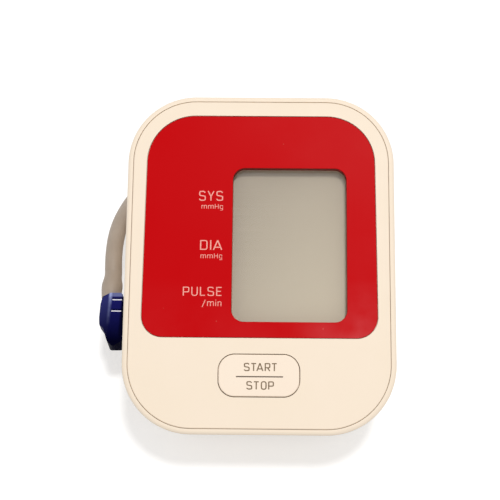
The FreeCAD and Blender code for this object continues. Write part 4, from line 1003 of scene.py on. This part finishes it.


# Letters are drawn one by one, with the pen's middle line in heights of a capital from the lower left.
STEM = bars(((0.07, 0.03), (0.07, 0.97)))
HEAD_BOWL = bow((0.07, 0.93), (0.28, 0.93), (0.57, 0.93), (0.57, 0.68),
                (0.57, 0.43), (0.28, 0.43), (0.07, 0.43))
LOW_STEM = bars(((0.06, 0.03), (0.06, 0.73)))
LOW_ARCH = bow((0.06, 0.42), (0.08, 0.71), (0.45, 0.74), (0.45, 0.42), (0.45, 0.03))
NEXT_ARCH = bow((0.45, 0.42), (0.47, 0.71), (0.84, 0.74), (0.84, 0.42), (0.84, 0.03))
LETTERS: dict[str, tuple[Stroke, ...]] = {
    "A": bars(((0.0, 0.03), (0.33, 0.97)), ((0.33, 0.97), (0.66, 0.03)), ((0.1, 0.28), (0.56, 0.28))),
    "D": STEM + bow((0.07, 0.93), (0.25, 0.93), (0.58, 0.94), (0.58, 0.50),
                    (0.58, 0.06), (0.25, 0.07), (0.07, 0.07)),
    "E": STEM + bars(((0.07, 0.93), (0.52, 0.93)), ((0.07, 0.51), (0.46, 0.51)),
                     ((0.07, 0.07), (0.52, 0.07))),
    "H": STEM + bars(((0.58, 0.03), (0.58, 0.97)), ((0.07, 0.50), (0.58, 0.50))),
    "I": STEM,
    "L": STEM + bars(((0.07, 0.07), (0.49, 0.07))),
    "O": ring((0.06, 0.50), (0.06, 0.95), (0.56, 0.95), (0.56, 0.50), (0.56, 0.05), (0.06, 0.05)),
    "P": STEM + HEAD_BOWL,
    "R": STEM + HEAD_BOWL + bars(((0.32, 0.43), (0.57, 0.03))),
    "S": bow((0.54, 0.80), (0.47, 0.94), (0.28, 0.94), (0.05, 0.92), (0.05, 0.72), (0.05, 0.54),
             (0.30, 0.50), (0.56, 0.46), (0.56, 0.28), (0.56, 0.07), (0.30, 0.06), (0.11, 0.06),
             (0.03, 0.20)),
    "T": bars(((0.0, 0.93), (0.54, 0.93)), ((0.27, 0.93), (0.27, 0.03))),
    "U": bow((0.06, 0.97), (0.06, 0.62), (0.06, 0.05), (0.56, 0.05), (0.56, 0.62), (0.56, 0.97)),
    "Y": bars(((0.03, 0.97), (0.29, 0.44)), ((0.55, 0.97), (0.29, 0.44)), ((0.29, 0.44), (0.29, 0.03))),
    "g": ring((0.06, 0.39), (0.06, 0.73), (0.46, 0.73), (0.46, 0.39), (0.46, 0.05), (0.06, 0.05))
         + bow((0.46, 0.72), (0.46, 0.30), (0.46, -0.20), (0.40, -0.28), (0.08, -0.26)),
    "i": LOW_STEM + bars(((0.06, 0.90), (0.06, 1.0))),
    "m": LOW_STEM + LOW_ARCH + NEXT_ARCH,
    "n": LOW_STEM + LOW_ARCH,
    "/": bars(((0.0, -0.12), (0.40, 1.0))),
}
# Pairs of letters that stand closer than the rest, and by how much.
CLOSER = {"TA": 0.14, "AR": 0.04}


@dataclass(frozen=True)
class Legend:
    """A printed word in a plain narrow hand, fitted to a width and height on the face."""

    words: str
    name: str
    low: float
    width: float
    height: float
    film: float = 0.02 * MM
    stroke: float = 0.1
    gap: float = 0.23
    path_steps: int = 4
    section_steps: int = 1

    def curve(self) -> bpy.types.Curve:
        """Draws the word's pen strokes.

        Returns:
            A curve in heights of a capital.
        """
        curve = round_curve(self.name, self.stroke / 2, self.path_steps, self.section_steps)
        start = 0.0
        for letter, following in zip(self.words, self.words[1:] + " "):
            right = max(stroke.draw(curve, start) for stroke in LETTERS[letter])
            start = right + self.gap - CLOSER.get(letter + following, 0.0)
        return curve

    def mesh(self, mark: float, align: Align) -> bpy.types.Mesh:
        """Makes the word a thin solid in its own plane, at its place on the face.

        Args:
            mark: Where across the face it is lined up.
            align: How it stands against that mark.

        Returns:
            A mesh whose Z is the height above the face.
        """
        draft = add_object(self.name + "_draft", self.curve())
        bpy.context.view_layer.update()
        mesh = bpy.data.meshes.new_from_object(draft.evaluated_get(bpy.context.evaluated_depsgraph_get()))
        bpy.data.objects.remove(draft)
        xs = [vertex.co.x for vertex in mesh.vertices]
        ys = [vertex.co.y for vertex in mesh.vertices]
        left, low = min(xs), min(ys)
        scale = Matrix.Diagonal((self.width / (max(xs) - left), self.height / (max(ys) - low),
                                 self.film / self.stroke, 1.0))
        start = Vector((mark - align.value * self.width, self.low, self.film / 2))
        mesh.transform(Matrix.Translation(start) @ scale @ Matrix.Translation((-left, -low, 0.0)))
        return mesh


@dataclass
class Bend:
    """An arc of the coil on the table, from one heading to another, in degrees."""

    x: float
    y: float
    radius: float
    first: float
    last: float
    corners: int = 5

    def at(self, heading: float, reach: float) -> Vector:
        """A point round the bend's middle, on the table."""
        turn = math.radians(heading)
        return Vector((self.x + reach * math.cos(turn), self.y + reach * math.sin(turn), 0.0))

    def points(self) -> list[Vector]:
        """Finds the bend's control points.

        Returns:
            Its two ends, and between them the corners of an outline drawn round it.
        """
        step = (self.last - self.first) / self.corners
        reach = self.radius / math.cos(math.radians(step / 2))
        outline = [self.at(self.first + step * (index + 0.5), reach) for index in range(self.corners)]
        return [self.at(self.first, self.radius), *outline, self.at(self.last, self.radius)]


@dataclass(frozen=True)
class Collar:
    """The tube's swollen end over the plug's barb, in shares of its full length and width."""

    bore: float = 0.80
    mouth: float = 0.88
    neck: float = 0.83
    crest: float = 0.46
    slope: float = 0.44
    steps: int = 16
    turns: int = 48
    merge: float = 0.001 * MM
    smooth_angle: float = math.radians(60)

    def width(self, along: float) -> float:
        """Finds how wide the collar is.

        Args:
            along: A place along it, from 0 at the plug to 1.

        Returns:
            The share of its full width there.
        """
        if along < self.crest:
            return self.mouth + (1.0 - self.mouth) * math.sin(math.pi / 2 * along / self.crest)
        gone = min((along - self.crest) / self.slope, 1.0)
        return self.neck + (1.0 - self.neck) * (1.0 + math.cos(math.pi * gone)) / 2

    def outline(self) -> list[tuple[float, float]]:
        """The wall's section as pairs of place and width, round from the bore at the plug."""
        places = [step / self.steps for step in range(self.steps + 1)]
        return [(0.0, self.bore), *((along, self.width(along)) for along in places), (1.0, self.bore)]

    def build(self) -> bpy.types.Object:
        """Spins the wall's section about the tube's first run.

        Returns:
            The collar's object.
        """
        low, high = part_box("tube_collar")
        full = (high.x - low.x) / 2
        length = high.y - low.y
        centre = Vector(((low.x + high.x) / 2, low.y, (low.z + high.z) / 2))
        shape = bmesh.new()
        dots = [shape.verts.new(centre + Vector((full * wide, length * along, 0.0)))
                for along, wide in self.outline()]
        edges = [shape.edges.new(pair) for pair in zip(dots, dots[1:] + dots[:1])]
        bmesh.ops.spin(shape, geom=dots + edges, cent=centre, axis=(0, 1, 0), angle=2 * math.pi,
                       steps=self.turns, use_merge=True)
        bmesh.ops.remove_doubles(shape, verts=shape.verts, dist=self.merge)
        bmesh.ops.recalc_face_normals(shape, faces=shape.faces)
        settle(shape)
        piece = add_piece(as_mesh("hose_collar", shape), "hose_collar", TUBE, Body.HOSE, self.smooth_angle)
        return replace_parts(piece, "tube_collar")


@dataclass
class AirHose:
    """The plug with its pale bars of painted glint, and the tube from it to the cuff, with its tie and its
    fitting.
    """

    radius: float = 3.55 * MM
    exit: Place = (-61.0 * MM, 8.4 * MM, 28.0 * MM)
    length: float = 530.7 * MM
    level: float = 3.95 * MM
    lead: tuple[Place, ...] = (
        (-61.6 * MM, 15.0 * MM, 29.4 * MM), (-61.7 * MM, 30.6 * MM, 26.0 * MM),
        (-59.5 * MM, 47.8 * MM, 17.3 * MM), (-54.6 * MM, 63.1 * MM, 8.9 * MM),
        (-51.647 * MM, 78.419 * MM, 3.95 * MM))
    left_x: float = -21.5 * MM
    right_x: float = 31.0 * MM
    middle_y: float = 88.5 * MM
    fold: float = 25.85 * MM
    pitch: float = 7.3 * MM
    step_x: float = 4.2 * MM
    entry_turn: float = 16.0
    tail_run: float = 10.0 * MM
    tail_radius: float = 40.0 * MM
    tail_turn: float = 35.0
    path_steps: int = 6
    section_steps: int = 7
    collar: Collar = Collar()
    glint_bar: Bar = Bar(size=(3.9 * MM, 0.5 * MM, 0.6 * MM), radius=0.5 * MM / 6, segments=2,
                       rounding=Rounding.ALL)
    glint_places: tuple[tuple[str, Place], ...] = (
        ("rear", (-57.3 * MM, -6.73 * MM, 33.65 * MM)), ("front", (-57.3 * MM, -11.73 * MM, 33.65 * MM)))

    def bends(self) -> list[Bend]:
        """Lays out the coil.

        Returns:
            Its bends in order, from the lead to the cuff's fitting.
        """
        half = self.pitch / 2
        second = self.fold - self.pitch
        front = self.middle_y - self.fold + self.pitch
        return [
            Bend(self.left_x, self.middle_y, self.fold, 180 - self.entry_turn, 90, corners=3),
            Bend(self.right_x, self.middle_y, self.fold, 90, -90),
            Bend(self.left_x + self.step_x, self.middle_y - half, self.fold - half, -90, -270),
            Bend(self.right_x, self.middle_y, second, 90, -90),
            Bend(self.right_x - self.tail_run, front + self.tail_radius, self.tail_radius, -90,
                 -90 - self.tail_turn, corners=2),
        ]

    def route(self) -> list[Vector]:
        """Lists the tube's control points.

        Returns:
            The points, from the plug to the fitting.
        """
        points = [Vector(self.exit), *map(Vector, self.lead)]
        rise = Vector((0.0, 0.0, self.level))
        for bend in self.bends():
            points += [point + rise for point in bend.points()]
        turn = math.radians(self.tail_turn)
        way = Vector((-math.cos(turn), math.sin(turn), 0.0))
        return [*points, points[-1] + way * 2 * self.radius]

    def tube(self) -> bpy.types.Object:
        """Makes the tube one smooth spline with a round section.

        Returns:
            The tube's object.
        """
        curve = round_curve("hose_tube", self.radius, self.path_steps, self.section_steps)
        curve.materials.append(TUBE.material())
        add_spline(curve, self.route(), Pen.ROUND)
        piece = add_object("hose_tube", curve)
        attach(piece, Body.HOSE.value)
        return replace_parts(piece, "air_tube", "tube_coil")

    def lay_glint(self, name: str, middle: Place) -> bpy.types.Object:
        """Lays a pale bar in a groove of the plug: a painted glint on the groove's edge.

        Args:
            name: The bar's name.
            middle: Its middle.

        Returns:
            The bar's object.
        """
        mesh = as_mesh(name, self.glint_bar.shape(Vector(middle)))
        piece = add_piece(mesh, name, GLINT_PAINT, Body.HOSE)
        return piece

    def build(self) -> list[str]:
        """Returns:
            The names of its pieces and nodes.
        """
        tube, collar = self.tube(), self.collar.build()
        # The pale bars are painted glints on the grooves' edges.
        lines = [self.lay_glint("plug_painted_glint_" + side, place) for side, place in self.glint_places]
        dressed = NAVY.dress("air_plug") + BLACK.dress("tube_tie") + TUBE.dress("cuff_fitting")
        return [piece.name for piece in (tube, collar, *lines)] + dressed


@dataclass
class Housing:
    """The two mouldings of the case, the battery door, the feet and the case screws."""

    corners: tuple[str, ...] = ("front_left", "front_right", "rear_left", "rear_right")

    def build(self) -> list[str]:
        """Dresses the housing.

        Returns:
            The names of its nodes.
        """
        dressed = CREAM.dress("rear_case", "front_cover", "battery_door")
        dressed += FOOT.dress(*["foot_" + corner for corner in self.corners])
        return dressed + STEEL.dress(*["case_screw_" + corner for corner in self.corners])


@dataclass
class DisplayStack:
    """The red panel with its printed legends, the lens, the display and its frame."""

    face: FaceFrame
    sink: float = 0.2 * MM
    right: float = -14.4 * MM
    legends: tuple[Legend, ...] = (
        Legend("SYS", "legend_sys", low=23.2 * MM, width=9.3 * MM, height=3.9 * MM),
        Legend("mmHg", "legend_sys_unit", low=19.45 * MM, width=8.25 * MM, height=2.45 * MM),
        Legend("DIA", "legend_dia", low=4.05 * MM, width=8.5 * MM, height=3.8 * MM),
        Legend("mmHg", "legend_dia_unit", low=0.2 * MM, width=8.25 * MM, height=2.45 * MM),
        Legend("PULSE", "legend_pulse", low=-13.6 * MM, width=14.65 * MM, height=3.5 * MM),
        Legend("/min", "legend_pulse_unit", low=-17.8 * MM, width=7.4 * MM, height=2.8 * MM))

    def build(self) -> list[str]:
        """Dresses the display and prints the legends.

        Returns:
            The names of its nodes and pieces.
        """
        made = PANEL_RED.dress("display_panel") + LENS.dress("display_window") + DISPLAY.dress("lcd_glass")
        made += WHITE.dress("lcd_holder") + CONTACT.dress("contact_strip_low", "contact_strip_top")
        for legend in self.legends:
            mesh = legend.mesh(self.right, Align.RIGHT)
            mesh.transform(self.face.matrix(-self.sink))
            made.append(add_piece(mesh, legend.name, PANEL_INK, Body.MONITOR).name)
        return made


@dataclass
class StartButton:
    """The start button with its two words and the rule between them, and the switch under it."""

    face: FaceFrame
    proud: float = 0.15 * MM
    centre: float = 0.5 * MM
    words: tuple[Legend, ...] = (
        Legend("START", "legend_start", low=-41.65 * MM, width=12.3 * MM, height=3.1 * MM, stroke=0.14),
        Legend("STOP", "legend_stop", low=-48.45 * MM, width=10.3 * MM, height=3.2 * MM, stroke=0.14))
    rule: Bar = Bar(size=(17.6 * MM, 0.46 * MM, 0.02 * MM), radius=0.2 * MM, segments=4,
                    rounding=Rounding.UPRIGHT)
    rule_middle: Place = (0.25 * MM, -43.65 * MM, 0.01 * MM)

    def build(self) -> list[str]:
        """Dresses the button and its switch, and prints on the button.

        Returns:
            The names of its nodes and pieces.
        """
        made = CREAM_KEY.dress("start_button") + BLACK.dress("switch_body", "switch_stem")
        prints = [(word.name, word.mesh(self.centre, Align.MIDDLE), BUTTON_INK) for word in self.words]
        rule = as_mesh("legend_rule", self.rule.shape(Vector(self.rule_middle)))
        prints.append(("legend_rule", rule, RULE_INK))
        for name, mesh, ink in prints:
            mesh.transform(self.face.matrix(self.proud))
            made.append(add_piece(mesh, name, ink, Body.BUTTON).name)
        return made


@dataclass
class InnerWorks:
    """What the closed case holds: the board, the air parts, the cells and the contacts."""

    cells: tuple[str, ...] = ("cell_one", "cell_two", "cell_three", "cell_four")
    contacts: tuple[str, ...] = ("front_left", "front_right", "rear_left", "rear_middle", "rear_right")
    board_corners: tuple[str, ...] = ("low_left", "low_right", "top_left", "top_right")

    def jacket(self) -> CellJacket:
        """The cells' sleeve, measured on the first cell."""
        low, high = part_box(self.cells[0])
        return CellJacket("cell_sleeve", sleeve=screen(34, 34, 38), band=screen(190, 132, 74),
                          line=screen(230, 225, 210), start=low.y, end=high.y)

    def build(self) -> list[str]:
        """Dresses the inner works.

        Returns:
            The names of their nodes.
        """
        dressed = BOARD.dress("main_board")
        dressed += BLACK.dress("control_chip", "buzzer", "pressure_sensor", "dc_socket", "air_jack")
        dressed += self.jacket().dress(*self.cells)
        dressed += STEEL.dress(*["cell_contact_" + place for place in self.contacts])
        dressed += STEEL.dress("valve_yoke", "valve_armature")
        dressed += STEEL.dress(*["board_screw_" + corner for corner in self.board_corners])
        dressed += MOTOR.dress("pump_motor") + COPPER.dress("valve_coil")
        dressed += WHITE.dress("air_manifold", "pump_cap", "pump_head", "pump_crank", "pump_cradle")
        dressed += INNER_TUBE.dress("jack_line", "valve_line", "pump_line")
        return dressed + FOOT.dress("pump_diaphragm", "jack_seal")


@dataclass
class Studio:
    """A pale floor, one soft lamp nearly overhead, even light around, and the camera."""

    floor_half: float = 1.5
    floor_drop: float = 0.2 * MM
    ambient: float = 0.62
    white: float = 1.0
    lamp_place: Place = (0.25, 0.05, 2.2)
    lamp_width: float = 0.3
    lamp_power: float = 21.0
    camera_place: Place = (4.09 * MM, -169.07 * MM, 361.56 * MM)
    camera_pitch: float = 60.444
    camera_yaw: float = 0.956
    camera_roll: float = -0.395
    lens: float = 65.70
    shift: float = -0.0266
    near_clip: float = 10 * MM

    def floor(self) -> str:
        """Lays the floor just under the feet.

        Returns:
            Its name.
        """
        shape = bmesh.new()
        bmesh.ops.create_grid(shape, x_segments=1, y_segments=1, size=self.floor_half)
        bmesh.ops.translate(shape, verts=shape.verts, vec=(0.0, 0.0, -self.floor_drop))
        floor = add_object("floor", as_mesh("floor", shape))
        floor.data.materials.append(FLOOR.material())
        return floor.name

    def surroundings(self) -> str:
        """Sets even light for the object, and plain white where the camera or a gloss sees past it.

        Returns:
            The world's name.
        """
        world = bpy.data.worlds.new("studio")
        bpy.context.scene.world = world
        world.use_nodes = True
        sheet = NodeSheet(world.node_tree, Output.WORLD)
        around = sheet.add("Background", {"Color": NEUTRAL, "Strength": self.ambient})
        behind = sheet.add("Background", {"Color": NEUTRAL, "Strength": self.white})
        sheet.finish(sheet.choose(sheet.rays(*SEEN), around, behind))
        return world.name

    def lamp(self) -> str:
        """Hangs the soft lamp, turned to the object.

        Returns:
            Its name.
        """
        data = bpy.data.lights.new("key_lamp", "AREA")
        data.shape = "DISK"
        data.size = self.lamp_width
        data.energy = self.lamp_power
        lamp = add_object("key_lamp", data)
        lamp.location = self.lamp_place
        lamp.rotation_mode = "QUATERNION"
        lamp.rotation_quaternion = (-Vector(self.lamp_place)).to_track_quat("-Z", "Y")
        return lamp.name

    def camera(self) -> str:
        """Sets the camera at the photograph's place and angle.

        Returns:
            Its name.
        """
        data = bpy.data.cameras.new("camera")
        data.lens = self.lens
        data.shift_x = self.shift
        data.clip_start = self.near_clip
        camera = add_object("camera", data)
        yaw = Matrix.Rotation(math.radians(self.camera_yaw), 4, "Z")
        aim = Matrix.Rotation(math.radians(90 - self.camera_pitch), 4, "X")
        roll = Matrix.Rotation(math.radians(self.camera_roll), 4, "Z")
        camera.matrix_world = Matrix.Translation(self.camera_place) @ yaw @ aim @ roll
        bpy.context.scene.camera = camera
        return camera.name

    def build(self) -> list[str]:
        """Sets up the studio.

        Returns:
            The names of what is in it.
        """
        bpy.context.scene.view_settings.view_transform = "Standard"
        return [self.camera(), self.floor(), self.surroundings(), self.lamp()]


def main() -> None:
    """Builds the studio and every sub-assembly in order."""
    logging.basicConfig(level=logging.INFO, format="%(name)s: %(message)s")
    face = FaceFrame()
    for assembly in (Studio(), AirHose(), Housing(), DisplayStack(face), StartButton(face), InnerWorks()):
        for piece in assembly.build():
            log.info("%s: %s", type(assembly).__name__, piece)


if __name__ == "__main__":
    main()
